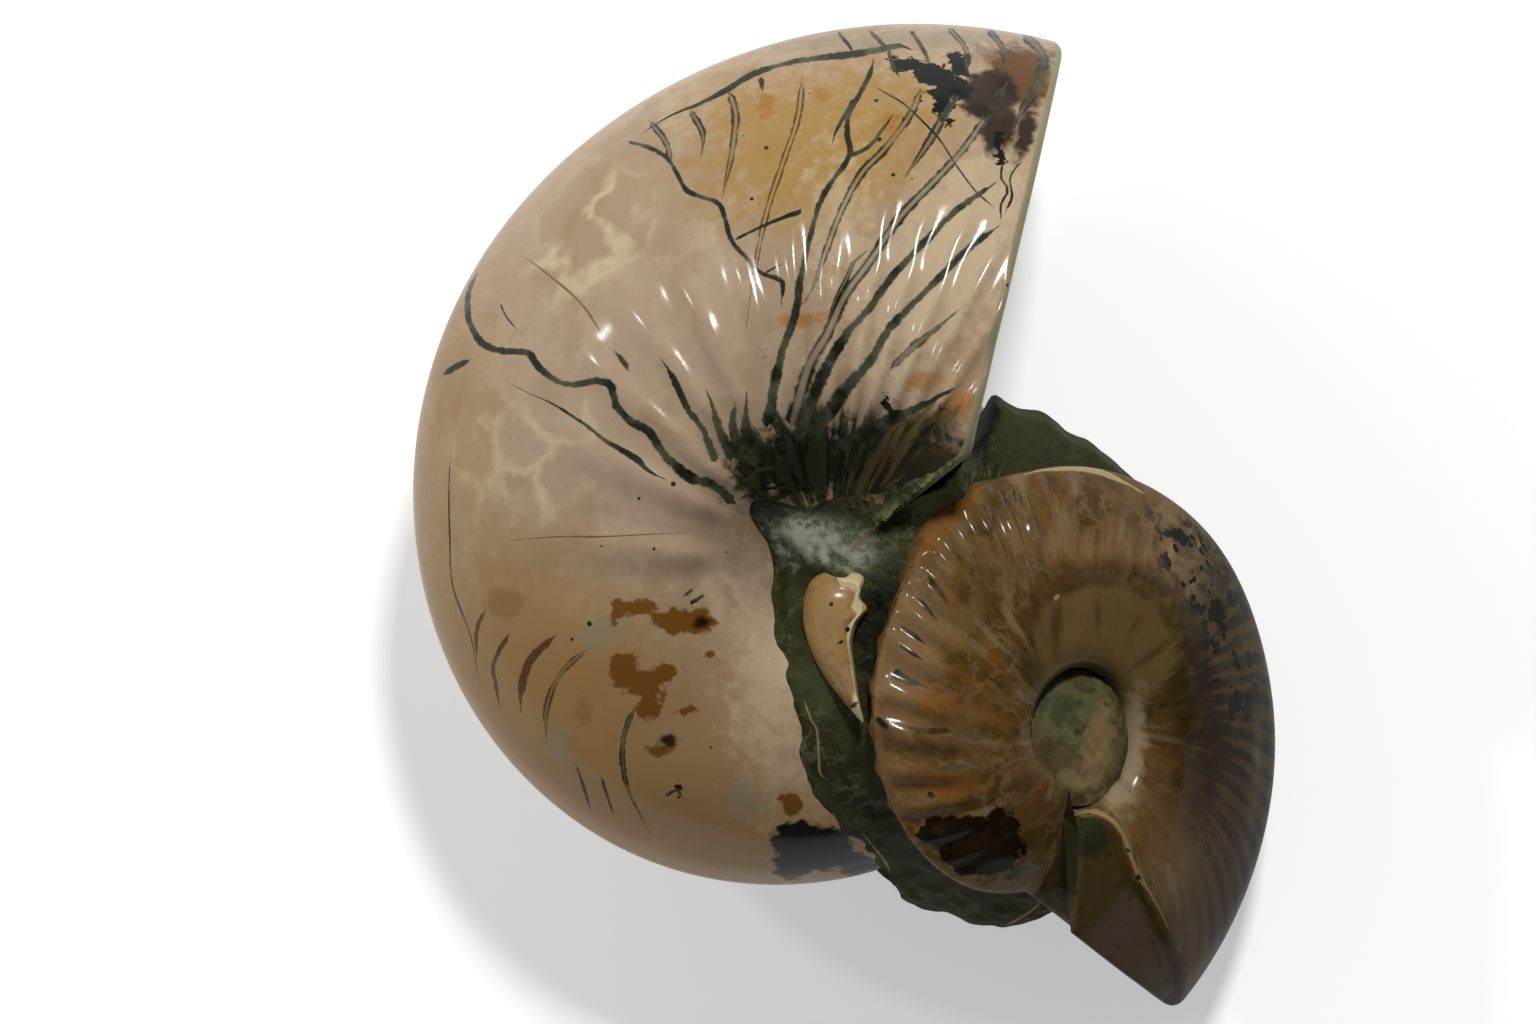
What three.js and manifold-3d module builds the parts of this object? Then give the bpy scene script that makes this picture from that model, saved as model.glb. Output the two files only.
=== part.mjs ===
// A fossil nautiloid with a smaller ammonite, a scrap of a third shell and the dark
// sandstone matrix that joins them, cut and polished, lying on the nautiloid's side.
// Millimetres, +Z up. X and Y are as seen from above, and z = 0 is the surface it lies on.
import * as THREE from "three";
import { mergeVertices } from "three/addons/utils/BufferGeometryUtils.js";
import Module from "manifold-3d";

const wasm = await Module();
wasm.setup();

const TURN = 2 * Math.PI;
const GAP = 0.3;
// The middle of the whole fossil's box, which is set over the origin.
const MIDDLE = [0.7, -0.4];
// The stone under the ammonite, where it lies in a break in the nautiloid's older whorl.
const BED = 2.5;
const radians = THREE.MathUtils.degToRad;
const { clamp, lerp, smoothstep } = THREE.MathUtils;

// A shell is a logarithmic spiral about its pole. Angles grow anticlockwise as seen from
// above, from the aperture's tip back towards the older whorls. A section point is
// [distance from the axis, height over the mid-plane], as shares of the venter's radius.
// The aperture is cut by an upright plane through a point, facing away from the shell, and
// inside the umbilicus by one from the axis at innerCut. An arc is [the share of the turn at
// its end, the number of columns in it].
const NAUTILOID = {
  pole: [-2, -7.2, 38.5],
  lean: radians(2),
  leanTowards: radians(258),
  tipRadius: 92.7,
  tipAngle: radians(59),
  growthPerTurn: 2.75,
  narrowing: 0,
  cutThrough: [19.6, 10.8],
  cutFaces: radians(-13.9),
  innerCut: radians(40),
  floor: [13, -17],
  section: [
    [0, 0.15],
    [0.1, 0.16],
    [0.15, 0.205],
    [0.2, 0.3],
    [0.26, 0.395],
    [0.33, 0.45],
    [0.43, 0.464],
    [0.56, 0.443],
    [0.7, 0.388],
    [0.83, 0.298],
    [0.925, 0.185],
    [0.98, 0.085],
    [1, 0],
  ],
  arcs: [[1, 76]],
};
const FOLDS = { count: 22, height: 0.5, from: 0.2, peak: 0.3, to: 0.62 };

const AMMONITE = {
  pole: [30.6, -32.7, 48],
  lean: radians(38.5),
  leanTowards: radians(-7),
  tipRadius: 58.3,
  tipAngle: radians(292),
  growthPerTurn: 2.29,
  narrowing: 0.4,
  cutThrough: [34, -63.6],
  cutFaces: radians(230.7),
  innerCut: radians(266),
  floor: [3, -3],
  section: [
    [0, 0.06],
    [0.1, 0.085],
    [0.18, 0.1],
    [0.235, 0.11],
    [0.27, 0.19],
    [0.315, 0.235],
    [0.4, 0.25],
    [0.56, 0.23],
    [0.74, 0.18],
    [0.88, 0.11],
    [0.97, 0.045],
    [1, 0],
  ],
  arcs: [
    [0.36, 16],
    [0.82, 64],
    [1, 8],
  ],
};
const RIBS = { spacing: radians(7.8), height: 0.8, sweep: radians(11), arc: [420, 455, 590, 610] };
// The body chamber's stone lies below the shell's broken lip, and falls away to the cut.
const CHAMBER = { lipAngle: radians(316), depth: 1.4, fall: 4.2, width: radians(30) };

// The matrix: [x, y, height of its top there] round its outline, seen from above. Inside
// the shoulder its top runs to a bed, just below the ammonite's mid-plane. Its foot is a
// flat oval that reaches under the nautiloid, so that the fossil's weight stays over it.
const MATRIX = {
  centre: [22.9, -27.7],
  outline: [
    [49.3, 5.6, 32],
    [34.9, 14.9, 42],
    [23.7, 20, 49],
    [18.1, 10.7, 60],
    [9.3, 4.3, 57],
    [-6.7, 1.9, 56],
    [-15.5, 2.7, 58],
    [-11.6, -4.4, 57],
    [-10.8, -11.5, 57],
    [-10.8, -19.6, 62.3],
    [-6.8, -32.4, 62.9],
    [-6, -42, 59.4],
    [1.2, -51.6, 50.6],
    [7.7, -58.1, 38],
    [10.1, -62.1, 27],
    [26.1, -67, 22],
    [34.1, -64, 22],
    [46, -58, 17],
    [55.7, -42, 13],
    [57.3, -29.3, 12],
    [55.7, -13.3, 18],
  ],
  bed: 0.55,
  bedDrop: 3,
  shoulder: 0.97,
  waist: 0.9,
  foot: [8, -20],
  footRadii: [36, 33],
};

// The scrap's outline, seen from above, about its highest point.
const SCRAP = {
  peak: [-0.8, -18.5],
  base: 63,
  rise: 4,
  tilt: 0.12,
  outline: [
    [1.8, -9.4],
    [-1, -8.9],
    [-5.1, -14.6],
    [-5.4, -17.5],
    [-4.6, -21.4],
    [-2.5, -26.2],
    [0.4, -29.5],
    [4, -32.9],
    [3, -27.1],
    [1.8, -24.2],
    [2.1, -21.8],
    [3.3, -19.4],
    [3.8, -15.6],
    [3.9, -13.2],
    [4, -10.8],
  ],
};

// A shell's venter radius at an angle along the coil.
function venterRadius(shell, angle) {
  const rate = Math.log(shell.growthPerTurn) / TURN;
  return shell.tipRadius * Math.exp(-rate * (angle - shell.tipAngle));
}

// A section point's distance from the axis and height over the mid-plane, without relief.
function sectionPlace(shell, point, angle) {
  const venter = venterRadius(shell, angle);
  const width = venter * (shell.tipRadius / venter) ** shell.narrowing;
  const floor = point.side > 0 ? shell.floor[0] : shell.floor[1];
  const onWall = smoothstep(point.share, 0, 0.14);
  return [point.share * venter, lerp(floor, point.height * width, onWall)];
}

// The angle at which the cut meets the row of a section point, found by halving the step
// towards the angle and place that agree.
function rowAngle(shell, point, turns) {
  const [x, y] = shell.cutThrough;
  const outwards = new THREE.Vector3(Math.cos(shell.cutFaces), Math.sin(shell.cutFaces), 0);
  const away = new THREE.Vector3(x, y, 0).sub(new THREE.Vector3(...shell.pole)).dot(outwards);
  const normal = outwards.applyQuaternion(leaning(shell).invert());
  const facing = (Math.atan2(normal.y, normal.x) + TURN) % TURN;
  const towards = shell.innerCut < Math.PI ? facing - TURN : facing;
  let angle = shell.tipAngle;
  for (let step = 0; step < 60; step++) {
    const [r, z] = sectionPlace(shell, point, angle + turns * TURN);
    const reach = (away - normal.z * z) / Math.hypot(normal.x, normal.y) / Math.max(r, 1e-6);
    const onPlane = towards + Math.acos(clamp(reach, 0, 1));
    angle = lerp(angle, Math.max(onPlane, shell.innerCut), 0.5);
  }
  return angle + turns * TURN;
}

// The section from the upper end of the axis to the lower end, with outward directions.
// Away from the venter the lower side, which is seldom seen, has every second point.
function sectionPoints(shell) {
  const points = shell.section;
  const upper = points.map(([share, height], i) => {
    const [r0, z0] = points[Math.max(i - 1, 0)];
    const [r1, z1] = points[Math.min(i + 1, points.length - 1)];
    const length = Math.hypot(r1 - r0, z1 - z0);
    const onAxis = share === 0;
    const atVenter = share === 1;
    const outR = onAxis ? 0 : atVenter ? 1 : (z0 - z1) / length;
    const outZ = onAxis ? 1 : atVenter ? 0 : (r1 - r0) / length;
    return { share, height, outR, outZ, side: 1 };
  });
  const last = points.length - 1;
  const nearVenter = last - 3;
  const kept = upper.filter((_, i) => i < last && (i >= nearVenter || i % 2 === 0));
  const lower = kept.map((p) => ({ ...p, height: -p.height, outZ: -p.outZ, side: -1 }));
  return [...upper, ...lower.reverse()];
}

// How far round the turn each column stands, from 0 at the aperture to 1.
function columnShares(arcs) {
  const shares = [0];
  for (const [end, columns] of arcs) {
    const start = shares[shares.length - 1];
    for (let i = 1; i <= columns; i++) shares.push(lerp(start, end, i / columns));
  }
  return shares;
}

// A shell: rows follow the section, columns follow the coil once round from the aperture,
// and the last column joins the first across the cut face.
function shellSolid(shell, relief, grow = 0) {
  const rows = sectionPoints(shell).map((point) => ({
    point,
    start: rowAngle(shell, point, 0),
    end: rowAngle(shell, point, 1),
  }));
  const columns = columnShares(shell.arcs);
  const positions = [];
  for (const turned of columns) {
    for (const { point, start, end } of rows) {
      const angle = lerp(start, end, turned);
      const [reach, height] = sectionPlace(shell, point, angle);
      const lift = point.share > 0 ? relief(angle, point) : 0;
      const r = reach + lift * point.outR;
      const z = height + lift * point.outZ;
      positions.push(r * Math.cos(angle), r * Math.sin(angle), z);
    }
  }
  const index = [];
  for (let column = 0; column < columns.length; column++) {
    const here = column * rows.length;
    const next = ((column + 1) % columns.length) * rows.length;
    for (let row = 0; row < rows.length - 1; row++) {
      index.push(here + row, here + row + 1, next + row + 1);
      index.push(here + row, next + row + 1, next + row);
    }
  }
  const [x, y, z] = shell.pole;
  const placed = new THREE.Matrix4().makeRotationFromQuaternion(leaning(shell));
  return solidFrom(positions, index, placed.setPosition(x, y, z), grow);
}

// The turn that leans a shell's axis.
function leaning(shell) {
  const { lean, leanTowards } = shell;
  const hinge = new THREE.Vector3(-Math.sin(leanTowards), Math.cos(leanTowards), 0);
  return new THREE.Quaternion().setFromAxisAngle(hinge, lean);
}

// A closed solid from loose corners and triangles, with each corner moved outwards by grow.
function solidFrom(positions, index, matrix = new THREE.Matrix4(), grow = 0) {
  const loose = new THREE.BufferGeometry();
  loose.setAttribute("position", new THREE.Float32BufferAttribute(positions, 3));
  loose.setIndex(index);
  loose.applyMatrix4(matrix);
  const merged = mergeVertices(loose, 1e-3);
  const corners = merged.index.array;
  const triangles = [];
  for (let i = 0; i < corners.length; i += 3) {
    const [a, b, c] = corners.slice(i, i + 3);
    if (a !== b && b !== c && c !== a) triangles.push(a, b, c);
  }
  merged.setIndex(triangles);
  merged.computeVertexNormals();
  const outwards = merged.attributes.normal.array;
  return new wasm.Manifold(
    new wasm.Mesh({
      numProp: 3,
      vertProperties: merged.attributes.position.array.map((v, i) => v + grow * outwards[i]),
      triVerts: new Uint32Array(triangles),
    }),
  );
}

// The low radial folds round the nautiloid's umbilicus, which die out down the flank.
function nautiloidRelief(angle, point) {
  const rise = smoothstep(point.share, FOLDS.from, FOLDS.peak);
  const fade = 1 - smoothstep(point.share, FOLDS.peak, FOLDS.to);
  return FOLDS.height * rise * fade * Math.sin(FOLDS.count * angle);
}

// The ammonite's ribs, which sweep forwards to the venter, and its sunken body chamber.
function ammoniteRelief(angle, point) {
  const { share, side } = point;
  const [first, full, last, none] = RIBS.arc.map(radians);
  const along = smoothstep(angle, first, full) * (1 - smoothstep(angle, last, none));
  const across = smoothstep(share, 0.5, 0.85) * (1 - smoothstep(share, 0.96, 1));
  const phase = (angle + RIBS.sweep * share ** 2) / RIBS.spacing;
  const ribs = RIBS.height * across * along * Math.cos(TURN * phase);
  if (side < 0) return ribs;
  const lip = CHAMBER.lipAngle + radians(6) * (1 - share);
  const open = 1 - smoothstep(angle, lip - radians(4), lip);
  const fall = clamp((lip - angle) / CHAMBER.width, 0, 1);
  const reach = smoothstep(share, 0.2, 0.3) * (1 - smoothstep(share, 0.9, 1));
  return ribs * (1 - open) - open * reach * (CHAMBER.depth + CHAMBER.fall * fall);
}

// The height of the matrix's bed, which the ammonite lies in, over a point.
function bedHeight(x, y) {
  const [px, py, pz] = AMMONITE.pole;
  const towards = AMMONITE.leanTowards;
  const along = (x - px) * Math.cos(towards) + (y - py) * Math.sin(towards);
  return pz - MATRIX.bedDrop - along * Math.tan(AMMONITE.lean);
}

// The matrix as a closed grid about an upright line: bed, rim, waist and foot.
function matrixSolid() {
  const [cx, cy] = MATRIX.centre;
  const [footX, footY] = MATRIX.foot;
  const [footWidth, footDepth] = MATRIX.footRadii;
  const inside = ([x, y], share) => [lerp(cx, x, share), lerp(cy, y, share)];
  const onBed = (x, y) => [x, y, bedHeight(x, y)];
  const onFoot = (angle) => [footX + footWidth * Math.cos(angle), footY + footDepth * Math.sin(angle), 0];
  const levels = [
    (point) => onBed(...inside(point, MATRIX.bed)),
    (point) => [...inside(point, MATRIX.shoulder), point[2]],
    ([x, y, top]) => [x, y, top - 3],
    (point) => [...inside(point, MATRIX.waist), point[2] * 0.45],
    ([x, y]) => onFoot(Math.atan2(y - cy, x - cx)),
  ];
  const positions = [...onBed(cx, cy)];
  for (const level of levels) {
    for (const point of MATRIX.outline) positions.push(...level(point));
  }
  positions.push(footX, footY, 0);
  return solidFrom(positions, ringIndex(MATRIX.outline.length, levels.length));
}

// Triangles between an upper pole, rings of corners below each other and a lower pole.
function ringIndex(count, rings) {
  const at = (ring, i) => 1 + ring * count + (i % count);
  const last = 1 + rings * count;
  const index = [];
  for (let i = 0; i < count; i++) {
    index.push(0, at(0, i), at(0, i + 1));
    for (let ring = 0; ring < rings - 1; ring++) {
      index.push(at(ring, i), at(ring + 1, i), at(ring + 1, i + 1));
      index.push(at(ring, i), at(ring + 1, i + 1), at(ring, i + 1));
    }
    index.push(last, at(rings - 1, i + 1), at(rings - 1, i));
  }
  return index;
}

// The scrap: a low dome over its outline, with a flat underside sunk in the matrix.
function scrapSolid(grow = 0) {
  const [cx, cy] = SCRAP.peak;
  const rings = [
    [0.35, 0.9],
    [0.65, 0.62],
    [0.88, 0.28],
    [1, 0],
    [0.9, -0.3],
  ];
  const place = (x, y, height) => {
    const slope = SCRAP.tilt * (x - cx);
    return [x, y, SCRAP.base + height * SCRAP.rise + slope];
  };
  const positions = [...place(cx, cy, 1)];
  for (const [share, height] of rings) {
    for (const [x, y] of SCRAP.outline) {
      positions.push(...place(lerp(cx, x, share), lerp(cy, y, share), height));
    }
  }
  positions.push(...place(cx, cy, -0.3));
  const index = ringIndex(SCRAP.outline.length, rings.length);
  return solidFrom(positions, index, new THREE.Matrix4(), grow);
}

// The largest body of a solid, without the slivers that a cut leaves.
function largestBody(solid) {
  const bodies = solid.decompose();
  return bodies.reduce((best, body) => (body.volume() > best.volume() ? body : best));
}

// Everything over the surface that the object lies on.
function aboveGround(solid) {
  return solid.trimByPlane([0, 0, 1], 0);
}

function meshFrom(name, solid, color, roughness) {
  const { vertProperties, triVerts } = solid.getMesh();
  const geometry = new THREE.BufferGeometry();
  geometry.setAttribute("position", new THREE.BufferAttribute(vertProperties, 3));
  geometry.setIndex(new THREE.BufferAttribute(triVerts, 1));
  geometry.computeVertexNormals();
  const material = new THREE.MeshStandardMaterial({ color, roughness, metalness: 0 });
  const mesh = new THREE.Mesh(geometry, material);
  mesh.name = name;
  return mesh;
}

const smooth = () => 0;
const plainAmmonite = { ...AMMONITE, arcs: [[1, 36]] };
const ammoniteRoom = shellSolid(plainAmmonite, smooth, RIBS.height + 2 * GAP);
const bed = shellSolid(plainAmmonite, smooth, BED);
const bedStone = shellSolid(plainAmmonite, smooth, BED - GAP);
const nautiloid = aboveGround(shellSolid(NAUTILOID, nautiloidRelief).subtract(bed));
const nautiloidRoom = shellSolid(NAUTILOID, nautiloidRelief, GAP);
const ammonite = shellSolid(AMMONITE, ammoniteRelief);
const scrap = scrapSolid().subtract(nautiloidRoom).subtract(ammoniteRoom);
const scrapRoom = scrapSolid(GAP);
const matrix = matrixSolid()
  .subtract(nautiloidRoom.subtract(bedStone))
  .subtract(ammoniteRoom)
  .subtract(scrapRoom);

const fossil = new THREE.Group();
fossil.add(
  meshFrom("nautiloid_shell", largestBody(nautiloid), 0xb19d81, 0.2),
  meshFrom("ammonite_shell", ammonite, 0x6b4f33, 0.2),
  meshFrom("shell_fragment", largestBody(scrap), 0xc09a6c, 0.2),
  meshFrom("matrix_stone", largestBody(matrix), 0x3f4230, 0.7),
);
fossil.position.set(-MIDDLE[0], -MIDDLE[1], 0);
export default fossil;
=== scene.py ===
"""A polished fossil nautiloid, joined by dark sandstone to a ribbed ammonite and a scrap of shell.

Lengths are millimetres until a mesh is made, and angles are degrees in the tables and radians
in the formulas. X and Y are as seen from above, +Z is up, and z = 0 is what the fossil lies on.
"""
import logging
import math
from dataclasses import dataclass
from enum import Enum

import bpy
import numpy as np
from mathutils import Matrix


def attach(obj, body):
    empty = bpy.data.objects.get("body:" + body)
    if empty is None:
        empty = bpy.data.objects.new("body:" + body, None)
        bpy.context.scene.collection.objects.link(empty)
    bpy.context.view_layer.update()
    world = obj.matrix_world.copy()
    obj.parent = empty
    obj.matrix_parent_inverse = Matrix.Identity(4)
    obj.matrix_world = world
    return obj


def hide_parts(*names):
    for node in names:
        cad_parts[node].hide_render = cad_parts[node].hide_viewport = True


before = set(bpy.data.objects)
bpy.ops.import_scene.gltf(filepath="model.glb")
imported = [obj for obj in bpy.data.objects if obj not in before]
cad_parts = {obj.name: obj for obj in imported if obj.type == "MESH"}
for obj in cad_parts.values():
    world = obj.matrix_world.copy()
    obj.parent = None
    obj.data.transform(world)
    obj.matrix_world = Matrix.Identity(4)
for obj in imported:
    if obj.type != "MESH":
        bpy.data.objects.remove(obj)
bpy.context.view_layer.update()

LOG = logging.getLogger("fossil")
Array = np.ndarray
Tree = bpy.types.NodeTree
Socket = bpy.types.NodeSocket
TURN = 2 * math.pi
METRE = 1000.0
# The middle of the whole fossil's box, which stands over the origin.
MIDDLE = np.array([0.7, -0.4, 0.0])
# How far from its path a vein is traced, the offset given beyond that, in half widths, the width
# over which it fades out, and its least share of the full width.
VEIN_REACH = 5.5
VEIN_BEYOND = 9.0
VEIN_FADE = 0.7
VEIN_THINNEST = 0.25
# How far from its path a groove is sunk, and the spread of its bell curve.
GROOVE_REACH = 5.0
GROOVE_SPREAD = 1.9
# Dark stone in the veins with its paler places, and the brown and the cream of healed ones.
VEIN_GREEN = "#1d2014"
VEIN_PALE_GREEN = "#4a4c38"
VEIN_BROWN = "#5b3a0e"
VEIN_CREAM = "#a8946e"
# The sizes of the coarse lumps and the fine grain in a vein's edge, each with its weight.
VEIN_LUMPS = (6.0, 1.6)
VEIN_GRAIN = (1.0, 1.1)
# Where a vein's edge, with its lumps, and its parted core fade out, in half widths, and where
# the lumps turn its stone paler.
VEIN_EDGE = (2.0, 2.5)
VEIN_CORE = (0.2, 0.62)
VEIN_PALE_PLACES = (0.4, 0.62)
# How often the cut's angle and the top's height are worked out anew until they agree.
CUT_ROUNDS = 60
TOP_ROUNDS = 6
# The share of the venter's radius within which a section runs down to the floor of its hollow.
FLOOR_ENDS = 0.14
# Places of the columns nearest the cut edge, as shares of the whorl, and where the others start.
EDGE_COLUMNS = (0.0, 0.0007, 0.0016, 0.0028)
EDGE_ENDS = 0.0042
# A field's value where its mark isn't to be seen at all.
NOWHERE = -30.0
# The share of the even spacing among the other columns, and the power of the uneven one.
EVEN_SHARE = 0.72
UNEVEN_POWER = 2.5


class Grain(Enum):
    """Which noise makes a layer's edge ragged: round lumps, or lumps drawn out along the ribs."""

    ROUND = 1
    FLOWING = 2


def ease(value: Array, start: float, end: float) -> Array:
    """Rise smoothly from 0 at start to 1 at end, as 3t^2 - 2t^3.

    Args:
        value: Where to work it out.
        start: The value at which it leaves 0.
        end: The value at which it reaches 1.

    Returns:
        The eased share, in the shape of value.
    """
    share = np.clip((value - start) / (end - start), 0.0, 1.0)
    return share * share * (3.0 - 2.0 * share)


def blend(low: Array, high: Array, share: Array) -> Array:
    """Go from low to high in a straight line."""
    return low + (high - low) * share


def curve_through(points: Array, steps: int) -> Array:
    """Pass a smooth curve through points, by the Catmull-Rom cubic of each four in a row.

    Args:
        points: The points, one to a row.
        steps: How many steps each span is cut into.

    Returns:
        The curve's points, one to a row, ends included.
    """
    padded = np.vstack([2 * points[0] - points[1], points, 2 * points[-1] - points[-2]])
    before, first, second, after = (padded[i : len(padded) - 3 + i, None, :] for i in range(4))
    t = np.linspace(0.0, 1.0, steps, endpoint=False)[None, :, None]
    curve = first + 0.5 * t * (
        second - before
        + t * (2 * before - 5 * first + 4 * second - after + t * (3 * (first - second) + after - before))
    )
    return np.vstack([curve.reshape(-1, points.shape[1]), points[-1]])


def swell(points: Array, length: float, seed: int, waves: int = 9) -> Array:
    """Wander smoothly between about -1 and 1: a sum of sine waves in random directions.

    Args:
        points: Places, with their coordinates on the last axis.
        length: The typical wavelength, in the unit of the points.
        seed: Fixes the directions and phases.
        waves: How many waves are added.

    Returns:
        One value for each place.
    """
    draw = np.random.default_rng(seed)
    directions = draw.normal(size=(waves, points.shape[-1]))
    directions /= np.linalg.norm(directions, axis=1, keepdims=True)
    lengths = length * draw.uniform(0.7, 1.5, waves)
    phases = draw.uniform(0.0, TURN, waves)
    angles = points @ (directions * (TURN / lengths)[:, None]).T + phases
    return np.sin(angles).sum(axis=-1) / math.sqrt(waves)


def oval(points: Array, centre: tuple[float, float], radii: tuple[float, float], turn: float = 0.0) -> Array:
    """Measure how far inside an oval in plan each place is.

    The value is (1 - d) times the smaller radius, where d is the distance from the centre in
    radii, so it is 0 on the rim and about a length in millimetres near it.

    Args:
        points: Places, with x and y first on the last axis.
        centre: The oval's centre.
        radii: Its half length and half width.
        turn: How far its length is turned from the X axis, in degrees.

    Returns:
        The depth inside the oval, negative outside.
    """
    turned = math.radians(turn)
    x = points[..., 0] - centre[0]
    y = points[..., 1] - centre[1]
    along = (x * math.cos(turned) + y * math.sin(turned)) / radii[0]
    across = (y * math.cos(turned) - x * math.sin(turned)) / radii[1]
    return (1.0 - np.hypot(along, across)) * min(radii)


def ovals(points: Array, shapes: tuple[tuple[float, ...], ...]) -> Array:
    """Join ovals, each given as x, y, half length, half width and turn, by the deepest of them."""
    depths = [oval(points, shape[:2], shape[2:4], shape[4]) for shape in shapes]
    return np.max(depths, axis=0)


def beside_path(points: Array, path: Array) -> tuple[Array, Array]:
    """Find the signed distance of places from a path in plan.

    The distance is the least one to the path's straight steps, positive on its left, where the
    path's direction turns evenly from each point to the next.

    Args:
        points: Places, one to a row, with x and y.
        path: The path's points, one to a row.

    Returns:
        The signed distances, and how far along the path each nearest place is, from 0 to 1.
    """
    steps = path[1:] - path[:-1]
    lengths = np.linalg.norm(steps, axis=1)
    offsets = points[:, None, :] - path[None, :-1, :]
    shares = np.clip((offsets * steps).sum(axis=2) / lengths**2, 0.0, 1.0)
    offsets = offsets - shares[..., None] * steps
    distances = np.linalg.norm(offsets, axis=2)
    nearest = distances.argmin(axis=1)
    rows = np.arange(len(points))
    tangents = np.gradient(path, axis=0)
    tangent = blend(tangents[nearest], tangents[nearest + 1], shares[rows, nearest][:, None])
    offset = offsets[rows, nearest]
    side = np.where(tangent[:, 0] * offset[:, 1] >= tangent[:, 1] * offset[:, 0], 1.0, -1.0)
    travelled = np.concatenate([[0.0], np.cumsum(lengths)])
    along = travelled[nearest] + shares[rows, nearest] * lengths[nearest]
    return distances[rows, nearest] * side, along / travelled[-1]


@dataclass(frozen=True)
class Vein:
    """A line in the shell, seen from above: a rib groove, a suture, a crack or a healed seam.

    The tone goes from 0, green-black, over 1, brown, to 2, cream. A flare widens the end of the
    path by that many times, and a groove sinks the shell beside it by that many millimetres.
    """

    width: float
    path: tuple[tuple[float, float], ...]
    core: float = 0.0
    taper: tuple[float, float] = (0.12, 0.3)
    tone: float = 0.0
    flare: float = 0.0
    groove: float = 0.0

    @property
    def line(self) -> Array:
        """The smooth path."""
        return curve_through(np.array(self.path, float), 5)

    @property
    def near(self) -> float:
        """How far from the path the vein's field is whole."""
        return max(1.0, 0.95 * self.width * (1.0 + self.flare))

    @property
    def far(self) -> float:
        """How far from the path the vein's field ends."""
        return self.near + VEIN_FADE

    def swelling(self, along: Array) -> Array:
        """Work out the share of the width along the path: tapered at both ends, and flared.

        Args:
            along: How far along the path, from 0 to 1.

        Returns:
            The share at each place.
        """
        start, end = self.taper
        tapered = ease(along, 0.0, start) * (1.0 - ease(along, 1.0 - end, 1.0))
        return tapered * (1.0 + self.flare * along**3)

    def close_to(self, plan: Array, reach: float) -> tuple[Array, Array, Array]:
        """Find the places within reach of the path's box.

        Args:
            plan: Places, one to a row.
            reach: How far round the box is widened.

        Returns:
            The rows, their signed distances and how far along the path they are.
        """
        line = self.line
        inside = (plan > line.min(axis=0) - reach) & (plan < line.max(axis=0) + reach)
        rows = np.flatnonzero(inside.all(axis=1))
        distance, along = beside_path(plan[rows], line)
        return rows, distance, along


def share_out(veins: tuple[Vein, ...]) -> list[list[Vein]]:
    """Put each vein in the first layer whose veins' fields don't touch its own.

    Args:
        veins: All the veins of a piece.

    Returns:
        The layers, each with its veins.
    """
    layers: list[list[Vein]] = []
    for vein in veins:
        line = vein.line
        for layer in layers:
            gaps = [
                np.linalg.norm(line[:, None] - other.line[None], axis=2).min() - 2 * max(vein.far, other.far)
                for other in layer
            ]
            if min(gaps) > 0.0:
                layer.append(vein)
                break
        else:
            layers.append([vein])
    return layers


def vein_field(points: Array, veins: list[Vein]) -> Array:
    """Trace the veins of one layer over a surface.

    Args:
        points: The surface's points, one to a row.
        veins: The veins of this layer.

    Returns:
        For each point: the signed distance from the vein's middle in half widths, how far the
        vein reaches it, from 0 to 1, how far its core is parted, and its tone.
    """
    plan = points[:, :2]
    field = np.zeros((len(plan), 4))
    field[:, 0] = VEIN_BEYOND
    closest = np.full(len(plan), VEIN_REACH)
    for vein in veins:
        rows, distance, along = vein.close_to(plan, VEIN_REACH)
        kept = np.abs(distance) < closest[rows]
        rows, distance, along = rows[kept], distance[kept], along[kept]
        closest[rows] = np.abs(distance)
        swelling = vein.swelling(along)
        half = 0.5 * vein.width * np.maximum(swelling, VEIN_THINNEST)
        field[rows, 0] = np.clip(distance / half, -VEIN_BEYOND, VEIN_BEYOND)
        field[rows, 1] = (1.0 - ease(np.abs(distance), vein.near, vein.far)) * ease(swelling, 0.0, 0.12)
        field[rows, 2] = vein.core
        field[rows, 3] = vein.tone
    return field


def grooves(points: Array, veins: tuple[Vein, ...]) -> Array:
    """Sink a surface beside its grooved veins, by a bell curve of the distance from each.

    Args:
        points: The surface's points, one to a row.
        veins: The veins of the piece.

    Returns:
        The depth of the deepest groove at each point.
    """
    plan = points[:, :2]
    depth = np.zeros(len(plan))
    for vein in veins:
        if vein.groove > 0.0:
            rows, distance, along = vein.close_to(plan, GROOVE_REACH)
            bell = np.exp(-((distance / GROOVE_SPREAD) ** 2)) * ease(vein.swelling(along), 0.0, 0.4)
            depth[rows] = np.maximum(depth[rows], vein.groove * bell)
    return depth


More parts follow.
